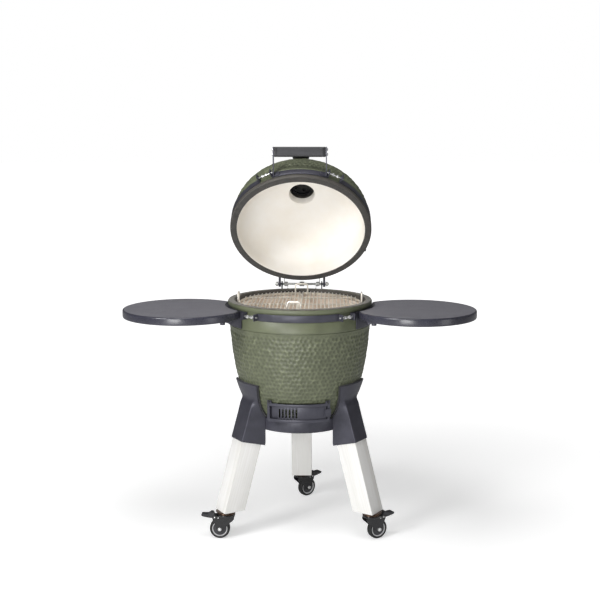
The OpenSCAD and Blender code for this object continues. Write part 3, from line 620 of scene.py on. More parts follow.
def hammered(reach: Array, radius: Array, columns: int, pitch: float, seed: int) -> Array:
    """Height of a hammered skin on a turned wall: dents in staggered rows, each moved about a little.

    The wall is unrolled into u, which counts the dents round it, and v, which counts their rows.
    Each cell holds one centre, moved by a hash of its place. A point's height grows with the
    square of its distance from the nearest centre, where the nearest are blended by a sum of
    exponentials so that the ridges between the dents stay soft.

    Args:
        reach: Distance of each row of points along the wall's profile.
        radius: Radius of each row.
        columns: Points round each row.
        pitch: Distance between neighbouring dents.
        seed: Number that sets the scatter.

    Returns:
        Heights from 0 in the dents to 1 on the ridges, as (row, column).
    """
    row_share, scatter, sharpness, half_cell = 0.9, 0.34, 11.0, 0.6
    around = int(round(2 * np.pi * radius.max() / pitch))
    u = np.arange(columns)[None, :] / columns * around + 0 * reach[:, None]
    v = reach[:, None] / (pitch * row_share) + 0 * u
    width = (2 * np.pi * radius / around / pitch)[:, None]
    total = np.zeros(u.shape)
    for down, left in np.ndindex(3, 3):
        row = np.floor(v).astype(np.int64) + down - 1
        stagger = 0.5 * (row % 2)
        column = np.floor(u - stagger).astype(np.int64) + left - 1
        mixed = (row * 73856093 ^ (column % around) * 19349663 ^ seed * 83492791) & 0xFFFFFF
        move_u, move_v = ((mixed // step % 512) / 511.0 - 0.5 for step in (7, 4099))
        across = (u - stagger - column - 0.5 - scatter * move_u) * width
        along = (v - row - 0.5 - scatter * move_v) * row_share
        total += np.exp(-sharpness * np.hypot(across, along))
    nearest = -np.log(total) / sharpness
    return np.clip((nearest / half_cell) ** 2, 0.0, 1.0)


# ---------------------------------------------------------------- pieces


class Edge(Enum):
    """How the edges of a piece are finished, as (bevel width in mm, segments)."""

    SHARP = (0.0, 0)
    EASED = (0.5, 2)
    PRESSED = (1.2, 3)
    MOULDED = (2.2, 3)


def piece(name: str, shell: Shell, body: str, finish: Finish, *more: Finish, edge: Edge = Edge.SHARP,
          stands_for: Sequence[str] = (), local: Array | None = None, crease: float = 38.0) -> Any:
    """Makes a shell into one piece of the grill.

    Args:
        name: The piece's name.
        shell: Its mesh, placed in the frame, in millimetres.
        body: The CAD body that it rides on, or "" for a piece that rides on none.
        finish: Its finish.
        more: Further finishes that shell.finish_of picks by number.
        edge: How its edges are finished.
        stands_for: CAD nodes that it replaces.
        local: Placement whose inverse gives the positions that a grain along the piece follows.
        crease: Angle in degrees above which an edge stays sharp.

    Returns:
        The new object.
    """
    mesh = bpy.data.meshes.new(name)
    mesh.from_pydata((shell.points * MM).tolist(), [], shell.faces)
    for each in (finish, *more):
        mesh.materials.append(each.material())
    if shell.finish_of is not None:
        mesh.polygons.foreach_set("material_index", shell.finish_of.astype(np.int32))
    for key, values in shell.point_values.items():
        mesh.attributes.new(key, "FLOAT", "POINT").data.foreach_set("value", values.astype(np.float32))
    work = bmesh.new()
    work.from_mesh(mesh)
    bmesh.ops.recalc_face_normals(work, faces=work.faces)
    work.to_mesh(mesh)
    work.free()
    return finished(mesh, name, body, edge, stands_for, local, crease)


def finished(mesh: bpy.types.Mesh, name: str, body: str, edge: Edge,
             stands_for: Sequence[str], local: Array | None, crease: float) -> Any:
    """Shades a mesh, eases its edges and ties it to its body. The arguments are those of piece()."""
    if local is not None:
        count = len(mesh.vertices)
        place = np.empty(count * 3)
        mesh.vertices.foreach_get("co", place)
        inverse = np.linalg.inv(local)
        own = (place.reshape(-1, 3) / MM) @ inverse[:3, :3].T + inverse[:3, 3]
        mesh.attributes.new("own_place", "FLOAT_VECTOR", "POINT").data.foreach_set(
            "vector", (own * MM).astype(np.float32).ravel())
    mesh.polygons.foreach_set("use_smooth", np.ones(len(mesh.polygons), bool))
    made = bpy.data.objects.new(name, mesh)
    bpy.context.scene.collection.objects.link(made)
    if edge is Edge.SHARP:
        mesh.set_sharp_from_angle(angle=math.radians(crease))
    else:
        width, segments = edge.value
        bevel = made.modifiers.new("eased_edges", "BEVEL")
        bevel.width = width * MM
        bevel.segments = segments
        bevel.limit_method = "ANGLE"
        bevel.angle_limit = math.radians(crease)
        bevel.harden_normals = True
    if body:
        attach(made, body)
    if stands_for:
        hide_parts(*stands_for)
    LOG.info("%s: %d faces on %s", name, len(mesh.polygons), body or "two bodies")
    return made


def eased_node(frame: dict[str, Any], node: str, finish: Finish, edge: Edge = Edge.EASED,
               local: Array | None = None, crease: float = 38.0) -> Any:
    """Makes a copy of a CAD node with merged faces, eased edges and a finish, which stands for it.

    Args:
        node: The CAD node.
        finish: The finish of the copy.
        edge: How its edges are finished.
        local: Placement for a grain along the piece, as in piece().
        crease: Angle in degrees above which an edge is eased.

    Returns:
        The new object.
    """
    source = frame["nodes"][node]
    mesh = bpy.data.meshes.new(f"{node}_finished")
    work = bmesh.new()
    work.from_mesh(source.data)
    bmesh.ops.remove_doubles(work, verts=work.verts, dist=0.02 * MM)
    bmesh.ops.dissolve_limit(work, angle_limit=math.radians(0.6), verts=work.verts, edges=work.edges)
    work.to_mesh(mesh)
    work.free()
    mesh.materials.clear()
    mesh.materials.append(finish.material())
    mesh.polygons.foreach_set("material_index", np.zeros(len(mesh.polygons), np.int32))
    return finished(mesh, f"{node}_finished", source["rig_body"], edge, [node], local, crease)


# ---------------------------------------------------------------- the ceramic


@dataclass
class Ceramic:
    """Bowl and dome: hammered glazed shells, bare inside, with felt on their rims."""

    radius: float = 264.0
    foot_radius: float = 168.0
    underside: float = 453.0
    rim: float = 875.0
    collar: float = 787.0
    floor: float = 482.0
    dome_start: float = 58.0
    dome_rise: float = 192.0
    neck: float = 62.0
    vent: float = 48.0
    dent_pitch: float = 17.5
    dent_depth: float = 4.0
    columns: int = 640
    row_spacing: float = 2.8
    recess: tuple[float, float, float] = (78.0, 26.0, 22.0)
    recess_rise: float = 46.0

    def outer_curve(self) -> Array:
        """Control points (radius, height) of the bowl's outside, from its collar down to its foot."""
        r = self.radius
        return np.array([(r, self.collar), (r - 8, self.collar - 137), (r - 32, self.underside + 59),
                         (self.foot_radius, self.underside)])

    def relief(self, shell: Shell, profile: Array, weight: Array, seed: int) -> None:
        """Presses the hammered relief into a turned shell, towards the axis.

        Args:
            shell: The shell, whose points are moved and given the value "relief".
            profile: Its profile, as (radius, height).
            weight: How far each point takes part, from 0 to 1.
            seed: Number that sets the scatter of the dents.
        """
        steps = np.linalg.norm(np.diff(profile, axis=0), axis=1)
        along = np.concatenate([[0.0], np.cumsum(steps)])
        height = hammered(along, profile[:, 0], self.columns, self.dent_pitch, seed).ravel()
        radial = np.linalg.norm(shell.points[:, :2], axis=1)
        share = 1.0 - (1.0 - height) * weight * self.dent_depth / np.maximum(radial, 1.0)
        shell.points[:, :2] *= share[:, None]
        shell.point_values["relief"] = height * weight + PLAIN_RELIEF * (1.0 - weight)

    def make_bowl(self) -> None:
        """Makes the bowl: a cubic curve from collar to foot, with a recess where the draft frame sits.

        The glaze ends inside the rim, where a band of the wall takes the darker umber glaze as painted
        shade, and the rest is bare.
        """
        r, top = self.radius, self.rim
        inner_curve = [(r - 26, self.collar), (r - 34, self.collar - 137), (r - 58, self.underside + 72),
                       (self.foot_radius - 18, self.floor)]
        wall = even(cubic(self.outer_curve(), np.linspace(1, 0, 200)), self.row_spacing)
        collar = np.array([
            (r - 2, self.collar + 0.6), (r - 2, self.collar + 2.4), (r + 3, self.collar + 3.4),
            (r + 3.6, self.collar + 5.4), (r + 3, self.collar + 9), (r + 3, top - 48),
            (r + 0.5, top - 45), (r + 0.5, top - 17), (r + 2, top - 15), (r + 4.9, top - 12.6),
            (r + 5.5, top - 11), (r + 5.5, top - 2.4), (r + 4.9, top - 0.8), (r + 3.5, top)])
        inside = np.concatenate([
            [(r - 20, top), (r - 21, top - 1), (r - 23, top - 55)],
            cubic(inner_curve, np.linspace(0, 1, 18)), [(20, self.floor)]])
        profile = np.concatenate([[(20, self.underside)], wall, collar, inside])
        shell = turned(profile, self.columns, loop=False)
        rows = len(profile) - 1
        shell.finish_of = np.zeros(len(shell.faces), np.int32)
        row_of = np.minimum(np.arange(len(shell.faces)) // self.columns, rows)
        lip = len(wall) + len(collar)
        # Finish 2, the darker umber glaze, is painted shade on the band inside the rim.
        shell.finish_of[row_of >= lip] = 2
        shell.finish_of[row_of >= lip + 3] = 1
        height = shell.points[:, 2]
        radial = np.linalg.norm(shell.points[:, :2], axis=1)
        outer = np.repeat(np.arange(len(profile)) <= len(wall), self.columns)
        weight = (np.clip((self.collar - 2 - height) / 14, 0, 1)
                  * np.clip((radial - 150) / 20, 0, 1) * outer)
        self.relief(shell, profile, weight, 3)
        half_width, half_height, depth = self.recess
        off_middle = np.abs(height - self.underside - self.recess_rise)
        front = (np.clip((half_width - np.abs(shell.points[:, 0])) / 6, 0, 1) * (shell.points[:, 1] < 0)
                 * np.clip((half_height - off_middle) / 6, 0, 1) * outer)
        shell.points[:, :2] *= (1 - depth * front / np.maximum(radial, 1))[:, None]
        piece("bowl_shell", shell.placed(GRILL), "root", GLAZE, FIRECLAY, SHADE_GLAZE,
              stands_for=["base_bowl"], crease=50)

    def make_dome(self) -> None:
        """Makes the dome: an ellipse above its ribbed collar, open at the neck, and bare inside.

        Its flange and the upper half of the vent's wall take the darker umber glaze as painted shade.
        """
        r = self.radius
        neck_angle = math.degrees(math.acos(self.neck / r))
        inner_angle = math.degrees(math.acos((self.vent + 3) / (r - 24)))
        collar = np.array([
            (r - 20, 0), (r + 3, 0), (r + 4.8, 0.7), (r + 5.5, 2.4), (r + 5.5, 13), (r + 4.8, 14.8),
            (r + 3, 17), (r + 1, 19), (r + 1, 45), (r + 3, 46.6), (r + 3.5, 48), (r + 3.5, 52.6),
            (r + 2.8, 54)])
        skin_line = even(ellipse(r, self.dome_rise, self.dome_start, 0, neck_angle, 160), self.row_spacing)
        neck = np.array([(self.neck, 246), (self.neck, 257), (self.neck - 1, 258), (self.vent + 1, 258),
                         (self.vent, 257), (self.vent, 240), (self.vent, 222)])
        inside = np.concatenate([ellipse(r - 24, 168, 46, inner_angle, 0, 56), [(r - 21, 10), (r - 21, 1)]])
        profile = np.concatenate([collar, skin_line, neck, inside])
        shell = turned(profile, self.columns)
        row_of = np.arange(len(shell.faces)) // self.columns
        flange_rows = 7
        neck_top = len(collar) + len(skin_line) + 3
        shell.finish_of = np.zeros(len(shell.faces), np.int32)
        # Finish 2, the darker umber glaze, is painted shade on the flange and in the vent's bore.
        shell.finish_of[(row_of < flange_rows) | (row_of >= neck_top)] = 2
        shell.finish_of[row_of >= neck_top + 2] = 1
        row = np.repeat(np.arange(len(profile)), self.columns) - len(collar)
        weight = np.clip(row / 4, 0, 1) * np.clip((len(skin_line) - 1 - row) / 4, 0, 1)
        self.relief(shell, profile, weight, 11)
        piece("dome_shell", shell.placed(LID), "lid", GLAZE, BISQUE, SHADE_GLAZE, stands_for=["dome"],
              crease=50)

    def make_felt(self, name: str, low: float, place: Array, body: str, finish: Finish, node: str) -> None:
        """Makes the felt ring on one rim: a strip with rounded edges, its surface slightly uneven.

        Args:
            name: The piece's name.
            low: Height of its lower face in its own frame.
            place: Its placement.
            body: The body that it rides on.
            finish: Its felt.
            node: The CAD node that it stands for.
        """
        inner, outer, thick = self.radius - 18, self.radius + 3, 3.0
        corners = [(inner, low), (outer, low), (outer, low + thick), (inner, low + thick)]
        ring = turned(rounded(np.array(corners), 1.2, 5, loop=True), 240)
        angle = np.arctan2(ring.points[:, 1], ring.points[:, 0])
        ring.points[:, 2] += 0.12 * np.sin(37 * angle) * np.sin(11 * angle)
        piece(name, ring.placed(place), body, finish, stands_for=[node])

    def make(self) -> None:
        """Makes both shells and both felt rings."""
        self.make_bowl()
        self.make_dome()
        self.make_felt("bowl_felt", self.rim, GRILL, "root", RIM_FELT, "base_gasket")
        self.make_felt("lid_felt", -3.0, LID, "lid", FELT, "lid_gasket")


# ---------------------------------------------------------------- cooking grid and rack


@dataclass
class Grid:
    """Two half-moon grids of round wire, on a wire rack with four lifting loops."""

    radius: float = 225.0
    height: float = 864.5
    pitch: float = 14.4
    bars: int = 15
    bar_radius: float = 2.25
    rim_radius: float = 3.0
    gap: float = 4.5
    cross: tuple[float, ...] = (-57.0, 99.0)
    rack_radius: float = 232.0
    rack_height: float = 858.2
    loop_half: float = 24.0
    loop_rise: float = 42.0
    loop_azimuths: tuple[float, ...] = (-94.0, 0.0, 90.0, 180.0)

    def half(self, side: int) -> Shell:
        """Half-moon for side 1 (right) or -1 (left): bars front to back on a D-shaped rim wire."""
        angle = np.radians(np.linspace(-88.9, 88.9, 72))
        bow = np.stack([self.radius * np.cos(angle), self.radius * np.sin(angle),
                        np.full(len(angle), self.height)], axis=1)
        chord = np.linspace(bow[-1], bow[0], 14)[1:-1]
        wires = [tube(np.concatenate([bow, chord]), self.rim_radius, 8, loop=True)]
        lift = self.height + 0.25 + self.rim_radius + self.bar_radius - 0.5
        for i in range(self.bars):
            x = self.pitch * (i + 0.5)
            reach = math.sqrt(self.radius ** 2 - x * x) + 1.5
            ends = np.array([[x, y, lift] for y in (-reach, 1 - reach, reach - 1, reach)])
            wires.append(tube(ends, self.bar_radius, 10))
        for y in self.cross:
            reach = math.sqrt(self.radius ** 2 - y * y)
            wires.append(tube(np.array([[self.gap, y, self.height], [reach, y, self.height]]),
                              self.rim_radius, 8))
        return joined(wires).placed(GRILL @ mirrored(side))

    def rack(self) -> Shell:
        """Ring of wire with four upright loops, each bent from one rounded path."""
        angle = np.linspace(0, 2 * np.pi, 160, endpoint=False)
        ring = np.stack([self.rack_radius * np.cos(angle), self.rack_radius * np.sin(angle),
                         np.full(len(angle), self.rack_height)], axis=1)
        wires = [tube(ring, 3.0, 10, loop=True)]
        out = math.sqrt(self.rack_radius ** 2 - self.loop_half ** 2)
        low, high, half = self.rack_height, self.rack_height + self.loop_rise, self.loop_half
        corners = np.array([[out, -half, low], [out, -half, high], [out, half, high], [out, half, low]])
        bent = tube(rounded(corners, 11.0, 8), 3.0, 12, up=(1, 0, 0))
        wires += [bent.placed(turn(azimuth, "Z")) for azimuth in self.loop_azimuths]
        return joined(wires).placed(GRILL)

    def make(self) -> None:
        """Makes the two grids and the rack."""
        for side, name in ((-1, "left"), (1, "right")):
            piece(f"grid_wires_{name}", self.half(side), "root", WIRE, stands_for=[f"grid_{name}"])
        piece("rack_wires", self.rack(), "root", WIRE, stands_for=["rack_frame"])


# ---------------------------------------------------------------- hinge springs


@dataclass
class Springs:
    """Two torsion springs round the hinge pin, each with a leg on the bowl's side and one on the lid's."""

    middle: float = 63.0
    coil_radius: float = 8.6
    wire_radius: float = 1.5
    turns: int = 5
    leg_spread: float = 7.0
    bowl_leg: tuple[float, float] = (28.0, 38.0)
    lid_leg: tuple[float, float] = (25.0, 40.0)

    def spring(self, side: int) -> Shell:
        """One spring: a helix whose ends run off straight, carried round by a circle."""
        low, high = (side * (self.middle + s * self.leg_spread) for s in (-1, 1))
        forward, rise = self.lid_leg
        lid_leg = LID @ np.array([
            [high, high], [HINGE_BACK, HINGE_BACK - forward],
            [HINGE_Z - LID_RIM_Z + self.coil_radius, rise], [1, 1]])
        start = math.pi
        axis = (GRILL @ np.array([0, HINGE_BACK, HINGE_Z, 1]))[1:3]
        end = math.atan2(lid_leg[2, 0] - axis[1], lid_leg[1, 0] - axis[0]) + 2 * math.pi * self.turns
        angle = np.linspace(start, end, 28 * self.turns)
        share = np.linspace(0, 1, len(angle))
        coil = np.stack([low + (high - low) * share, axis[0] + self.coil_radius * np.cos(angle),
                         axis[1] + self.coil_radius * np.sin(angle)], axis=1)
        bowl_end = np.array([[low, axis[0] - self.bowl_leg[0], axis[1] - self.bowl_leg[1]]])
        path = np.concatenate([bowl_end, coil, lid_leg[:3, 1:].T])
        return tube(path, self.wire_radius, 8, up=(1, 0, 0))

    def make(self) -> None:
        """Makes both springs, on no body, and bakes each one's placement into its mesh."""
        for side, name in ((-1, "left"), (1, "right")):
            coil = piece(f"spring_{name}", self.spring(side), "", SPRING,
                         stands_for=[f"hinge_spring_{name}"])
            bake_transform(coil)


# ---------------------------------------------------------------- stand


class LegPlace(Enum):
    """Where each leg stands: its azimuth, the way its caster trails, and the name its parts share."""

    FRONT_LEFT = (211.5, 180.0, "front_left")
    FRONT_RIGHT = (328.5, 30.0, "front_right")
    REAR = (90.0, 38.0, "rear")

    def placement(self) -> Array:
        """The leg's own frame: +Z runs up the leg and +X faces away from the grill's axis."""
        foot = shift(x=Stand.foot_reach, z=Stand.foot_height)
        return GRILL @ turn(self.value[0], "Z") @ foot @ turn(-Stand.splay, "Y")

    def caster(self) -> Array:
        """The caster's own frame: Z is the swivel axis and the wheel trails towards +X."""
        azimuth, way, _ = self.value
        return GRILL @ turn(azimuth, "Z") @ shift(x=Casters.reach) @ turn(way - azimuth, "Z")


@dataclass
class Stand:
    """Timber legs in folded steel brackets, whose upper ends open into cradles for the bowl."""

    half_width: float = 43.6
    foot_reach: float = 300.4
    foot_height: float = 107.0
    splay: float = 16.0
    sleeve_low: float = 366.0
    cradle_top: float = 583.0
    cradle_foot: float = 452.0
    ring_reach: float = 178.0
    wide_half: float = 83.0
    plate: float = 3.6
    stand_off: float = 9.6
    bend: float = 3.4
    side_depth: float = 97.0
    arc_low: float = 500.0
    arc_rise: float = 46.0
    slant_rise: float = 90.0
    rows: int = 44

    def bowl_reach(self, height: Array) -> Array:
        """Radius of the bowl's outside at each height, read from its cubic curve."""
        curve = cubic(Ceramic().outer_curve(), np.linspace(1, 0, 200))
        return np.interp(height, curve[:, 1], curve[:, 0])

    def edge_half(self, height: Array) -> Array:
        """Half the plate's width at each height: the sleeve's below the cradle, and then wider evenly."""
        share = np.clip((height - self.cradle_foot) / (self.cradle_top - self.cradle_foot), 0, 1)
        return self.half_width + share * (self.wide_half - self.half_width)

    def bracket(self) -> Shell:
        """Folded bracket in the frame of its leg's azimuth.

        Each row is half a section, mirrored: the outer wall, a bend, and the side wall, which
        reaches back to the stand's ring or, above it, to the bowl. Higher up the section turns
        into an arc that lies on the bowl. The mix of the two is a smooth step of the height. The
        lowest rows slant, so that the bracket's mouth is square to its leg.

        Returns:
            The closed shell.
        """
        z = np.linspace(self.sleeve_low, self.cradle_top, self.rows)[:, None]
        slope = math.tan(math.radians(self.splay))
        face = self.foot_reach + self.half_width / math.cos(math.radians(self.splay))
        wall = face - (z - self.foot_height) * slope
        on_bowl = self.bowl_reach(z) + self.stand_off
        edge_y = self.edge_half(z)
        at_ring = math.sqrt(self.ring_reach ** 2 - self.half_width ** 2)
        back = np.maximum(wall - self.side_depth, at_ring)
        at_bowl = np.sqrt(np.maximum(on_bowl ** 2 - edge_y ** 2, 1))
        edge_x = np.where(z < self.cradle_foot + 4, back, at_bowl)
        t = np.linspace(0, 1, 9)[None, 1:-1]
        flat = np.linspace(0, 1, 11)[None, :] * (self.half_width - self.bend)
        corner_x, corner_y = wall, self.half_width
        side_x, side_y = edge_x - corner_x, edge_y - corner_y
        length = np.sqrt(side_x ** 2 + side_y ** 2)
        turn_x, turn_y = corner_x + side_x / length * self.bend, corner_y + side_y / length * self.bend
        bend_x = (1 - t) ** 2 * wall + 2 * t * (1 - t) * corner_x + t ** 2 * turn_x
        bend_y = (1 - t) ** 2 * (corner_y - self.bend) + 2 * t * (1 - t) * corner_y + t ** 2 * turn_y
        s = np.linspace(0, 1, 12)[None, :]
        half_x = np.concatenate([wall + 0 * flat, bend_x, turn_x + s * (edge_x - turn_x)], axis=1)
        half_y = np.concatenate([flat + 0 * z, bend_y, turn_y + s * (edge_y - turn_y)], axis=1)
        steps = np.sqrt(np.diff(half_x, axis=1) ** 2 + np.diff(half_y, axis=1) ** 2)
        reach = np.concatenate([0 * z, np.cumsum(steps, axis=1)], axis=1)
        azimuth = reach / reach[:, -1:] * np.arcsin(edge_y / on_bowl)
        mix = np.clip((z - self.arc_low) / self.arc_rise, 0, 1)
        mix = mix * mix * (3 - 2 * mix)
        x = (1 - mix) * half_x + mix * on_bowl * np.cos(azimuth)
        y = (1 - mix) * half_y + mix * on_bowl * np.sin(azimuth)
        square = np.clip((z - self.sleeve_low) / self.slant_rise, 0, 1)
        height = z + (1 - square) * slope * (x - wall + 20) * 0.94
        sheet = np.stack([np.concatenate([x[:, :0:-1], x], 1), np.concatenate([-y[:, :0:-1], y], 1),
                          np.concatenate([height[:, :0:-1], height], 1)], axis=-1)
        return self.thickened(sheet)

    def pad(self) -> Shell:
        """Felt pad in the frame of its leg's azimuth: a strip on the bowl that shows round the plate."""
        z = np.linspace(self.cradle_foot + 3, self.cradle_top + 1.6, 20)[:, None]
        out = self.bowl_reach(z) + 6.0
        side = np.linspace(-1, 1, 25)[None, :] * np.arcsin((self.edge_half(z) + 1.6) / out)
        sheet = np.stack([out * np.cos(side), out * np.sin(side), z + 0 * side], axis=-1)
        return self.thickened(sheet, 5.4)

    def thickened(self, sheet: Array, thickness: float | None = None) -> Shell:
        """Closed wall behind a sheet: each point is set back along the sheet's normal.

        The normal is the cross product of the sheet's two directions.

        Args:
            sheet: Points as (row, column, xyz), whose outer side faces away from the axis.
            thickness: The wall's thickness, by default the plate's.

        Returns:
            The closed shell.
        """
        normal = np.cross(np.gradient(sheet, axis=1), np.gradient(sheet, axis=0))
        normal /= np.linalg.norm(normal, axis=-1, keepdims=True)
        inner = sheet - normal * (thickness or self.plate)
        return skin(np.concatenate([sheet, inner[:, ::-1]], axis=1), caps="strip")

    def make(self, frame: dict[str, Any]) -> None:
        """Makes the brackets, pads, legs and ring.
        """
        pads = []
        for place in LegPlace:
            azimuth, _, name = place.value
            around = GRILL @ turn(azimuth, "Z")
            piece(f"bracket_plate_{name}", self.bracket().placed(around), "root", GRAPHITE,
                  stands_for=[f"leg_bracket_{name}"], edge=Edge.EASED, crease=60)
            pads.append(self.pad().placed(around))
            eased_node(frame, f"leg_{name}", PINE, Edge.MOULDED, local=place.placement())
        low, high = 450.0, 453.0
        pads.append(turned(np.array([(127, low), (166, low), (166, high), (127, high)]), 96).placed(GRILL))
        piece("cradle_felt", joined(pads), "root", PAD_FELT, stands_for=["cradle_pads"])
        eased_node(frame, "stand_ring", GRAPHITE, Edge.EASED)
        eased_node(frame, "stand_bolts", ZINC, Edge.EASED)


# ---------------------------------------------------------------- fasteners


def hex_radius(radius: float, angle: Array) -> Array:
    """Distance to a hexagon's edge at each angle, for a hexagon whose corners are at that radius."""
    return radius * math.cos(math.pi / 6) / np.cos((angle % (math.pi / 3)) - math.pi / 6)


def spun(levels: Sequence[tuple[float, float, bool]], steps: int = 48) -> Shell:
    """Stack of rings up Z, each a circle or a hexagon, closed at both ends.

    Args:
        levels: For each ring its radius, its height, and whether it is a hexagon.
        steps: Points round each ring.

    Returns:
        The shell.
    """
    angle = np.linspace(0, 2 * np.pi, steps, endpoint=False)
    rings = [np.stack([(hex_radius(r, angle) if six else r) * np.cos(angle),
                       (hex_radius(r, angle) if six else r) * np.sin(angle), np.full(steps, z)], axis=1)
             for r, z, six in levels]
    return skin(np.array(rings))


def hex_nut(radius: float, thick: float, stub: float) -> Shell:
    """Hexagon nut with chamfered corners and the end of its bolt standing out of it."""
    return spun([(radius * 0.92, 0, False), (radius, 0.7, True), (radius, thick - 0.8, True),
                 (radius * 0.86, thick, False), (radius * 0.58, thick, False),
                 (radius * 0.56, thick + stub - 0.5, False), (radius * 0.46, thick + stub, False)])


def socket_screw(radius: float, thick: float) -> Shell:
    """Button head with a hexagon socket sunk in its crown."""
    return spun([(radius, 0, False), (radius, thick * 0.25, False), (radius * 0.88, thick * 0.68, False),
                 (radius * 0.62, thick * 0.95, False), (radius * 0.5, thick, False),
                 (radius * 0.46, thick * 0.97, True), (radius * 0.44, thick * 0.4, True)])


# ---------------------------------------------------------------- casters


@dataclass
class Casters:
    """Three swivel casters: race, fork, wheel and a brake pedal that is pressed with a foot."""

    reach: float = 316.4
    height: float = 107.0
    crown_low: float = 86.5
    crown_high: float = 94.5
    axle: float = 37.5
    trail: float = 24.0
    tread: float = 24.0
    pedal_x: float = 42.0
    pedal_z: float = 84.0
    cheek_y: float = 16.0

    def upright(self, outline: Array, thickness: float, y: float = 0.0) -> Shell:
        """Plate whose outline (x, z) stands upright, its middle at y."""
        return slab(outline, thickness).placed(shift(y=y) @ turn(90, "X"))

    def race(self) -> Shell:
        """Mounting disc above two rows of balls, as one turned profile."""
        top, low = self.height, self.crown_high + 0.4
        profile = [(9, low), (30, low), (33, low + 0.8), (34.4, low + 3), (33, low + 5.4),
                   (32.6, low + 6.2), (35.5, low + 6.8), (37.6, top - 4.2), (38.5, top - 3.2),
                   (38.5, top - 1), (37.7, top), (9, top)]
        return turned(np.array(profile), 96, loop=False)

    def kingpin(self) -> Shell:
        """Riveted end of the swivel pin under the fork's crown."""
        z = self.crown_low - 6
        profile = [(3, z), (7, z + 0.4), (9.6, z + 2.2), (10, z + 5.6), (6, z + 6), (6, z + 14)]
        return turned(np.array(profile), 48, loop=False)

    def cheek_outline(self) -> Array:
        """Outline of one cheek: crown, hub lug and pedal lug joined by straight edges and rounded."""
        corners = np.array([
            (-31, self.crown_low + 2), (-30, self.crown_low - 12), (-8, 56),
            (self.trail - 13, self.axle - 6), (self.trail - 5, self.axle - 13),
            (self.trail + 7, self.axle - 12), (self.trail + 14, self.axle + 2), (self.trail + 17, 58),
            (self.pedal_x + 9, self.pedal_z - 9), (self.pedal_x + 9, self.crown_low + 2)])
        return rounded(corners, 8.0, 6, loop=True)

    def fork(self) -> Shell:
        """Crown with a rolled edge over two cheeks."""
        crown = turned(np.array([
            (6.4, self.crown_low), (30, self.crown_low), (32.8, self.crown_low + 0.8),
            (34, self.crown_low + 3), (33.6, self.crown_high - 2), (31.5, self.crown_high),
            (6.4, self.crown_high)]), 96)
        cheeks = [self.upright(self.cheek_outline(), 3.0, s * self.cheek_y) for s in (-1, 1)]
        axle = turned(np.array([(4, -19), (4, 19)]), 24, loop=False).placed(
            shift(self.trail, 0, self.axle) @ turn(90, "X"))
        return joined([crown, *cheeks, axle])

    def nuts(self) -> Shell:
        """Axle nuts on both cheeks, and the two rivets of the pedal's pin on each."""
        parts = []
        for s in (-1, 1):
            face = shift(y=s * (self.cheek_y + 1.5)) @ turn(-90 * s, "X")
            parts.append(hex_nut(7.4, 3.6, 1.6).placed(shift(self.trail, 0, self.axle) @ face))
            for back, down, r in ((0, 1, 3.2), (13, 3, 2.6)):
                rivet = turned(np.array([(r, 0), (r * 0.9, 0.8), (r * 0.5, 1.4), (0.2, 1.6)]), 24,
                               loop=False)
                parts.append(rivet.placed(shift(self.pedal_x - back, 0, self.pedal_z - down) @ face))
        return joined(parts)

    def tyre(self) -> Shell:
        """Rubber tyre: rounded shoulders, a flat tread and a step down to the wheel's centre."""
        h, r = self.tread / 2, self.axle
        half = [(r, 0), (r, h - 5), (r - 1, h - 2), (r - 3.4, h - 0.4), (r - 6, h), (r - 8.6, h - 0.6),
                (28.4, h - 2.6)]
        profile = [(a, -b) for a, b in half[:0:-1]] + half
        return turned(np.array(profile), 96)

    def core(self) -> Shell:
        """Wheel centre: a raised pale ring inside the tyre, a dished web and a hub."""
        h, steps = self.tread / 2, 72
        half = [(29, h - 2.2), (28.2, h - 1.0), (26, h - 1.0), (24.8, h - 3.4), (15, h - 4.6),
                (12.6, h - 3.2), (11.4, h + 0.6), (10.4, h + 1.3), (4.1, h + 1.3)]
        profile = [(a, -b) for a, b in half] + half[::-1]
        shell = turned(np.array(profile), steps)
        row = np.arange(len(shell.faces)) // steps
        shell.finish_of = np.isin(row, (1, 2, 2 * len(half) - 4, 2 * len(half) - 3)).astype(np.int32)
        return shell

    def pedal(self) -> Shell:
        """Brake pedal: a bent lever with a hump over its pin and ribs across its toe."""
        x, z = self.pedal_x, self.pedal_z
        corners = np.array([
            (x - 5, z - 4), (x + 2, z - 6), (68, z - 3), (88, z + 1), (93.4, z + 6), (90, z + 10.4),
            (66, z + 9.4), (57, z + 17), (48, z + 17), (x + 1, z + 6.5), (x - 5, z + 3)])
        lever = self.upright(rounded(corners, 4.5, 6, loop=True), 26.0)
        rib = rounded(np.array([(-1.1, -0.6), (1.1, -0.6), (0.7, 0.9), (-0.7, 0.9)]), 0.4, 3, loop=True)
        ribs = [slab(rib, 20.0).placed(shift(at, 0, z + 9.8) @ turn(90, "X")) for at in (71, 76, 81, 86)]
        return joined([lever, *ribs])

    def make(self) -> None:
        """Makes the three casters, each part on the body that moves it."""
        races, pins = [], []
        for place in LegPlace:
            name, at = place.value[2], place.caster()
            races.append(self.race().placed(at))
            pins.append(self.kingpin().placed(at))
            piece(f"caster_fork_{name}", self.fork().placed(at), f"caster_{name}", ENAMEL,
                  edge=Edge.EASED, stands_for=[f"fork_{name}"])
            piece(f"caster_nuts_{name}", self.nuts().placed(at), f"caster_{name}", ZINC, crease=28)
            hub = at @ shift(self.trail, 0, self.axle) @ turn(90, "X")
            piece(f"caster_tyre_{name}", self.tyre().placed(hub), f"wheel_{name}", RUBBER,
                  stands_for=[f"wheel_{name}"], crease=50)
            piece(f"caster_wheel_centre_{name}", self.core().placed(hub), f"wheel_{name}", WHEEL_CORE,
                  WHEEL_RING)
            piece(f"caster_pedal_{name}", self.pedal().placed(at), f"brake_{name}", PEDAL,
                  edge=Edge.PRESSED, stands_for=[f"brake_{name}"], crease=45)
        piece("caster_races", joined(races), "root", BRONZED, stands_for=["caster_plates"])
        piece("caster_kingpins", joined(pins), "root", ZINC)


# ---------------------------------------------------------------- shelves


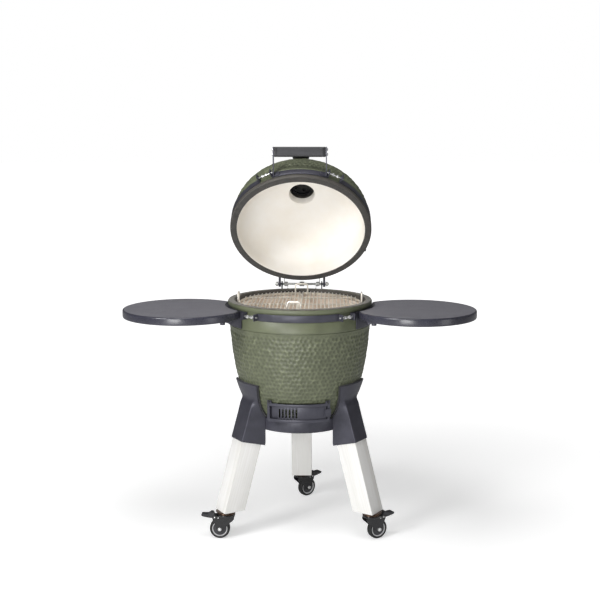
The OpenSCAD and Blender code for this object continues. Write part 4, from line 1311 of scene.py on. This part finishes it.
@dataclass
class Shelves:
    """Two round boards, cut back to the curve of the bowl, with a moulded edge band."""

    reach: float = 438.0
    radius: float = 222.0
    bowl_cut: float = 276.0
    back_cut: float = 270.0
    top: float = 858.0
    thick: float = 29.0
    forward: float = 14.0
    steps: int = 360

    def outline(self) -> tuple[Array, Array]:
        """Distance from the board's centre to its edge: the nearest of circle, bowl and back cut.

        Returns:
            The angles and the distances.
        """
        angle = np.linspace(0, 2 * np.pi, self.steps, endpoint=False)
        toward = np.stack([np.cos(angle), np.sin(angle)], axis=1)
        middle = np.array([self.reach, 0.0])
        along = toward @ middle
        inside = along ** 2 - (middle @ middle - self.bowl_cut ** 2)
        to_bowl = np.where((along < 0) & (inside > 0), -along - np.sqrt(np.maximum(inside, 0)), 1e9)
        tilt = math.radians(self.forward)
        across = toward @ np.array([math.cos(tilt), math.sin(tilt)])
        start = self.reach * math.cos(tilt)
        to_back = np.where(across < -1e-6, (start - self.back_cut) / np.maximum(-across, 1e-6), 1e9)
        on_cut = toward * np.minimum(to_back, 1e4)[:, None] + middle
        behind = on_cut @ np.array([-math.sin(tilt), math.cos(tilt)])
        to_back = np.where(behind > 0, to_back, 1e9)
        reach = np.minimum(self.radius, np.minimum(to_bowl, to_back))
        soft = np.ones(5) / 5
        return angle, np.convolve(np.concatenate([reach[-2:], reach, reach[:2]]), soft, "valid")

    def board(self) -> Shell:
        """Board built up of rings: each is the outline drawn in by a distance, at its height.

        The last rings lie on the laminate, and the others on the edge band, whose darker colour is painted
        shade.
        """
        angle, reach = self.outline()
        t = self.thick
        edge = [(4.0, -t), (1.6, 0.6 - t), (0.4, 2.4 - t), (0.0, 5.0 - t), (0.0, -6.0), (0.4, -3.4),
                (1.4, -1.6), (3.0, -0.5), (5.2, -0.06), (6.4, 0.0), (60.0, 0.0)]
        rings = [np.stack([self.reach + (reach - d) * np.cos(angle), (reach - d) * np.sin(angle),
                           np.full(self.steps, self.top + z)], axis=1) for d, z in edge]
        shell = skin(np.array(rings))
        # All rings but the top ones take the darker band: painted shade on the upright edge.
        shell.finish_of = np.ones(len(shell.faces), np.int32)
        row = np.arange(len(shell.faces)) // self.steps
        shell.finish_of[row >= len(edge) - 3] = 0
        # The underside takes the darker band too: painted shade under the board.
        underside = -2
        shell.finish_of[underside] = 1
        return shell

    def make(self, frame: dict[str, Any]) -> None:
        """Makes both boards and finishes their hinges and wall brackets.
        """
        for side, name in ((-1, "left"), (1, "right")):
            at = GRILL @ mirrored(side) @ turn(-self.forward, "Z")
            piece(f"shelf_board_{name}", self.board().placed(at), f"{name}_shelf", LAMINATE, DARK_SHADE_BAND,
                  stands_for=[f"shelf_{name}"])
            eased_node(frame, f"shelf_hinge_{name}", GRAPHITE)
            eased_node(frame, f"shelf_bracket_{name}", GRAPHITE)


# ---------------------------------------------------------------- handle and thermometer


@dataclass
class Handle:
    """Composite bar between two end blocks, screwed to upright brackets."""

    reach: float = 318.5
    up: float = 81.5
    half: float = 95.0
    long: float = 36.0
    short: float = 24.0
    block: float = 11.0

    def place(self) -> Array:
        """The bar's own frame, where X runs along it."""
        return LID @ shift(y=-self.reach, z=self.up) @ turn(-45, "X")

    def bar(self) -> Shell:
        """Bar lofted along X: a rounded rectangle at each station, drawn in at its ends and two grooves."""
        corners = np.array([(-1, -1), (1, -1), (1, 1), (-1, 1)]) * (self.long / 2, self.short / 2)
        section = rounded(corners, 6.5, 8, loop=True)
        end, groove = self.half, self.half - self.block
        right = [(groove - 0.7, 1.0), (groove - 0.4, 0.94), (groove + 0.4, 0.94), (groove + 0.7, 1.0),
                 (end - 2.4, 1.0), (end - 0.8, 0.965), (end, 0.9)]
        stations = [(-x, k) for x, k in right[::-1]] + [(0.0, 1.0)] + right
        rings = np.array([np.column_stack([np.full(len(section), x), section * k]) for x, k in stations])
        shell = skin(rings)
        row = np.minimum(np.arange(len(shell.faces)) // len(section), len(stations))
        block_rows = len(right) - 1
        ends = (row < block_rows) | (row >= len(stations) - 1 - block_rows)
        shell.finish_of = ends.astype(np.int32)
        return shell

    def make(self, frame: dict[str, Any]) -> None:
        """Makes the bar and its screws, and finishes the brackets.
        """
        at = self.place()
        piece("handle_grip_bar", self.bar().placed(at), "lid", GRIP, GRIP_END, stands_for=["handle_bar"],
              local=at, crease=50)
        heads = [socket_screw(5.2, 3.8).placed(
            at @ shift(s * (self.half + 4.4), t * 9, 0) @ turn(90 * s, "Y"))
            for s in (-1, 1) for t in (-1, 1)]
        piece("handle_screw_heads", joined(heads), "lid", ZINC, stands_for=["handle_screws"], crease=28)
        eased_node(frame, "handle_brackets", GRAPHITE)


@dataclass
class Thermometer:
    """Dial thermometer through the front of the dome."""

    reach: float = 202.0
    tilt: float = 41.3
    radius: float = 32.0
    face: float = 28.0

    def place(self) -> Array:
        """The thermometer's own frame, where Z runs out through its face."""
        share = self.reach / Ceramic.radius
        rise = Ceramic.dome_start + Ceramic.dome_rise * math.sqrt(1 - share ** 2)
        return LID @ shift(y=-self.reach, z=rise) @ turn(self.tilt, "X")

    def make(self) -> None:
        """Makes the case with its bezel, the stem, the dial with its marks, the needle and the glass."""
        at, r = self.place(), self.radius
        case = turned(np.array([
            (6, 1.5), (r - 3, 1.5), (r - 0.6, 3), (r, 5.5), (r, 13), (r - 0.5, 16), (r - 1.8, 17.5),
            (r - 3, 17.4), (r - 3.5, 16.4), (r - 3.6, 14.3)]), 96, loop=False)
        stem = turned(np.array([(1.5, -58), (3.4, -57), (4, -55), (4, 2)]), 32, loop=False)
        piece("thermometer_housing", joined([case, stem]).placed(at), "lid", VENT_IRON,
              stands_for=["thermometer_case"])
        dial = turned(np.array([(self.face, 14.5), (self.face, 15.9), (self.face - 0.3, 16.1)]), 96,
                      loop=False)
        piece("thermometer_face", dial.placed(at), "lid", DIAL, stands_for=["thermometer_dial"])
        marks = [slab(np.array([(-0.35, -k), (0.35, -k), (0.35, k), (-0.35, k)]), 0.2).placed(
            at @ turn(angle, "Z") @ shift(y=self.face - 3.6, z=16.2))
            for angle, k in zip(np.linspace(-135, 135, 41), [2.2, 1.2, 1.2, 1.2, 1.2] * 8 + [2.2])]
        piece("thermometer_marks", joined(marks), "lid", DIAL_INK)
        needle = slab(np.array([(-0.9, -7), (0.9, -7), (0.35, 19), (-0.35, 19)]), 0.3)
        boss = turned(np.array([(2.4, 16.2), (2.4, 16.6), (1.8, 16.75)]), 24, loop=False)
        hand = joined([needle.placed(turn(118, "Z") @ shift(z=16.45)), boss])
        piece("thermometer_needle", hand.placed(at), "lid", NEEDLE_PAINT)
        glass = turned(np.array([(self.face + 0.2, 16.85), (self.face + 0.2, 17.3)]), 96, loop=False)
        piece("thermometer_glass", glass.placed(at), "lid", LENS)


# ---------------------------------------------------------------- hardware kept from the frame


@dataclass
class Hardware:
    """Bands, hinge, draft door, fireclay and vent: CAD parts with eased edges and their own finishes."""

    groups: tuple[tuple[Finish, Edge, tuple[str, ...]], ...] = (
        (GRAPHITE, Edge.EASED, (
            "lower_band_front", "lower_band_rear", "upper_band_front", "upper_band_rear",
            "lower_hinge_bracket", "upper_hinge_bracket", "draft_frame", "draft_screen", "draft_door")),
        (ZINC, Edge.EASED, ("lower_band_bolts", "upper_band_bolts")),
        (FIRECLAY, Edge.MOULDED, ("firebox", "fire_ring")),
        (VENT_IRON, Edge.PRESSED, ("vent_collar", "vent_cap", "daisy_wheel", "lid_catch")),
        (SPRING, Edge.EASED, ("hinge_pin",)),
        (ENAMEL, Edge.EASED, ("draft_screws",)),
        (CAST_IRON, Edge.PRESSED, ("charcoal_grate",)))

    def make(self, frame: dict[str, Any]) -> None:
        """Finishes every part of the groups.
        """
        for finish, edge, nodes in self.groups:
            for node in nodes:
                eased_node(frame, node, finish, edge)


# ---------------------------------------------------------------- studio


@dataclass
class Studio:
    """Pale floor, soft lights and the camera.

    Floor and sky glow white where the camera sees them, and far less towards the grill, as they
    would between black flags. So the grill's sides fall dark and the paper stays white.
    """

    distance: float = 4.2
    height: float = 1.5295
    pitch: float = 8.9
    heading: float = 1.5
    lens: float = 68.0
    floor_radius: float = 40.0
    floor_glow: float = 0.47
    glow_span: tuple[float, float] = (0.7, 3.2)
    floor_bounce: float = 0.1
    horizon: float = 0.07
    zenith: float = 0.28

    def camera(self) -> None:
        """Puts the camera in front of the grill, a little to its right, looking down at it."""
        data = bpy.data.cameras.new("camera")
        data.lens = self.lens
        data.sensor_width = 36.0
        data.clip_end = 200.0
        made = bpy.data.objects.new("camera", data)
        side = math.radians(self.heading)
        axis_y = GRILL[1, 3] * MM
        made.location = (self.distance * math.sin(side), axis_y - self.distance * math.cos(side),
                         self.height)
        made.rotation_euler = (math.radians(90 - self.pitch), 0.0, side)
        bpy.context.scene.collection.objects.link(made)
        bpy.context.scene.camera = made

    def floor(self) -> None:
        """Makes the floor: a wide disc of white studio vinyl, whose glow rises away from the grill."""
        angle = np.linspace(0.0, 2.0 * np.pi, 64, endpoint=False)
        edge = np.stack([np.cos(angle), np.sin(angle), 0 * angle], axis=1) * self.floor_radius
        mesh = bpy.data.meshes.new("studio_floor")
        mesh.from_pydata(edge.tolist(), [], [list(range(len(edge)))])
        vinyl = blank("studio_vinyl_white")
        tree = vinyl.node_tree
        place = add(tree, "ShaderNodeTexCoord").outputs["Object"]
        reach = add(tree, "ShaderNodeVectorMath", {0: place}, operation="LENGTH")
        near, far = self.glow_span
        glow = add(tree, "ShaderNodeMapRange", {
            "Value": reach.outputs["Value"], 1: near, 2: far, 3: self.floor_glow, 4: 1.0})
        seen = add(tree, "ShaderNodeLightPath").outputs["Is Camera Ray"]
        strength = add(tree, "ShaderNodeMapRange", {
            "Value": seen, 3: self.floor_bounce, 4: glow.outputs["Result"]})
        shader = add(tree, "ShaderNodeBsdfPrincipled", {
            "Base Color": linear("#E6E6E6"), "Roughness": 0.8, "Specular IOR Level": 0.2,
            "Emission Color": linear("#FFFFFF"), "Emission Strength": strength.outputs["Result"]})
        add(tree, "ShaderNodeOutputMaterial", {"Surface": shader.outputs["BSDF"]})
        mesh.materials.append(vinyl)
        made = bpy.data.objects.new("studio_floor", mesh)
        bpy.context.scene.collection.objects.link(made)

    def lamp(self, name: str, place: tuple[float, float, float], aim: tuple[float, float, float],
             size: float, watts: float) -> None:
        """Hangs a square soft box with white light.

        Args:
            name: The lamp's name.
            place: Where it hangs.
            aim: The point that it faces.
            size: Its side in metres.
            watts: Its power.
        """
        data = bpy.data.lights.new(name, "AREA")
        data.shape = "SQUARE"
        data.size = size
        data.energy = watts
        made = bpy.data.objects.new(name, data)
        made.location = place
        toward = np.array(aim) - np.array(place)
        flat = math.hypot(toward[0], toward[1])
        made.rotation_euler = (math.atan2(flat, -toward[2]), 0.0, math.atan2(-toward[0], toward[1]))
        bpy.context.scene.collection.objects.link(made)

    def make(self) -> None:
        """Makes the camera, the floor, the sky and the lamps."""
        self.camera()
        self.floor()
        world = bpy.data.worlds.new("studio_sky")
        world.use_nodes = True
        tree = world.node_tree
        tree.nodes.clear()
        seen = add(tree, "ShaderNodeLightPath").outputs["Is Camera Ray"]
        ray = add(tree, "ShaderNodeTexCoord").outputs["Generated"]
        direction = add(tree, "ShaderNodeSeparateXYZ", {0: ray})
        glow = add(tree, "ShaderNodeMapRange", {
            "Value": direction.outputs["Z"], 1: 0.0, 2: 0.9, 3: self.horizon, 4: self.zenith})
        strength = add(tree, "ShaderNodeMapRange", {"Value": seen, 3: glow.outputs["Result"], 4: 1.0})
        sky = add(tree, "ShaderNodeBackground", {
            "Color": linear("#FFFFFF"), "Strength": strength.outputs["Result"]})
        add(tree, "ShaderNodeOutputWorld", {"Surface": sky.outputs["Background"]})
        bpy.context.scene.world = world
        bpy.context.scene.view_settings.view_transform = "Standard"
        self.lamp("key_box", (-2.4, -2.7, 2.4), (0, 0, 0.8), 1.0, 70)
        self.lamp("front_box", (-1.2, -4.5, 0.8), (0, 0, 0.95), 1.6, 92)
        self.lamp("low_fill_box", (2.8, -2.0, 0.5), (0.3, 0, 0.3), 1.0, 7)
        self.lamp("top_box", (-0.3, -1.0, 3.3), (0, 0, 0.9), 1.3, 34)


# ---------------------------------------------------------------- the whole


def main() -> None:
    """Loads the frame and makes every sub-assembly."""
    logging.basicConfig(level=logging.INFO, format="%(name)s %(message)s")
    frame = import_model()
    Studio().make()
    Ceramic().make()
    Grid().make()
    Springs().make()
    Stand().make(frame)
    Casters().make()
    Shelves().make(frame)
    Handle().make(frame)
    Thermometer().make()
    Hardware().make(frame)


if __name__ == "__main__":
    main()
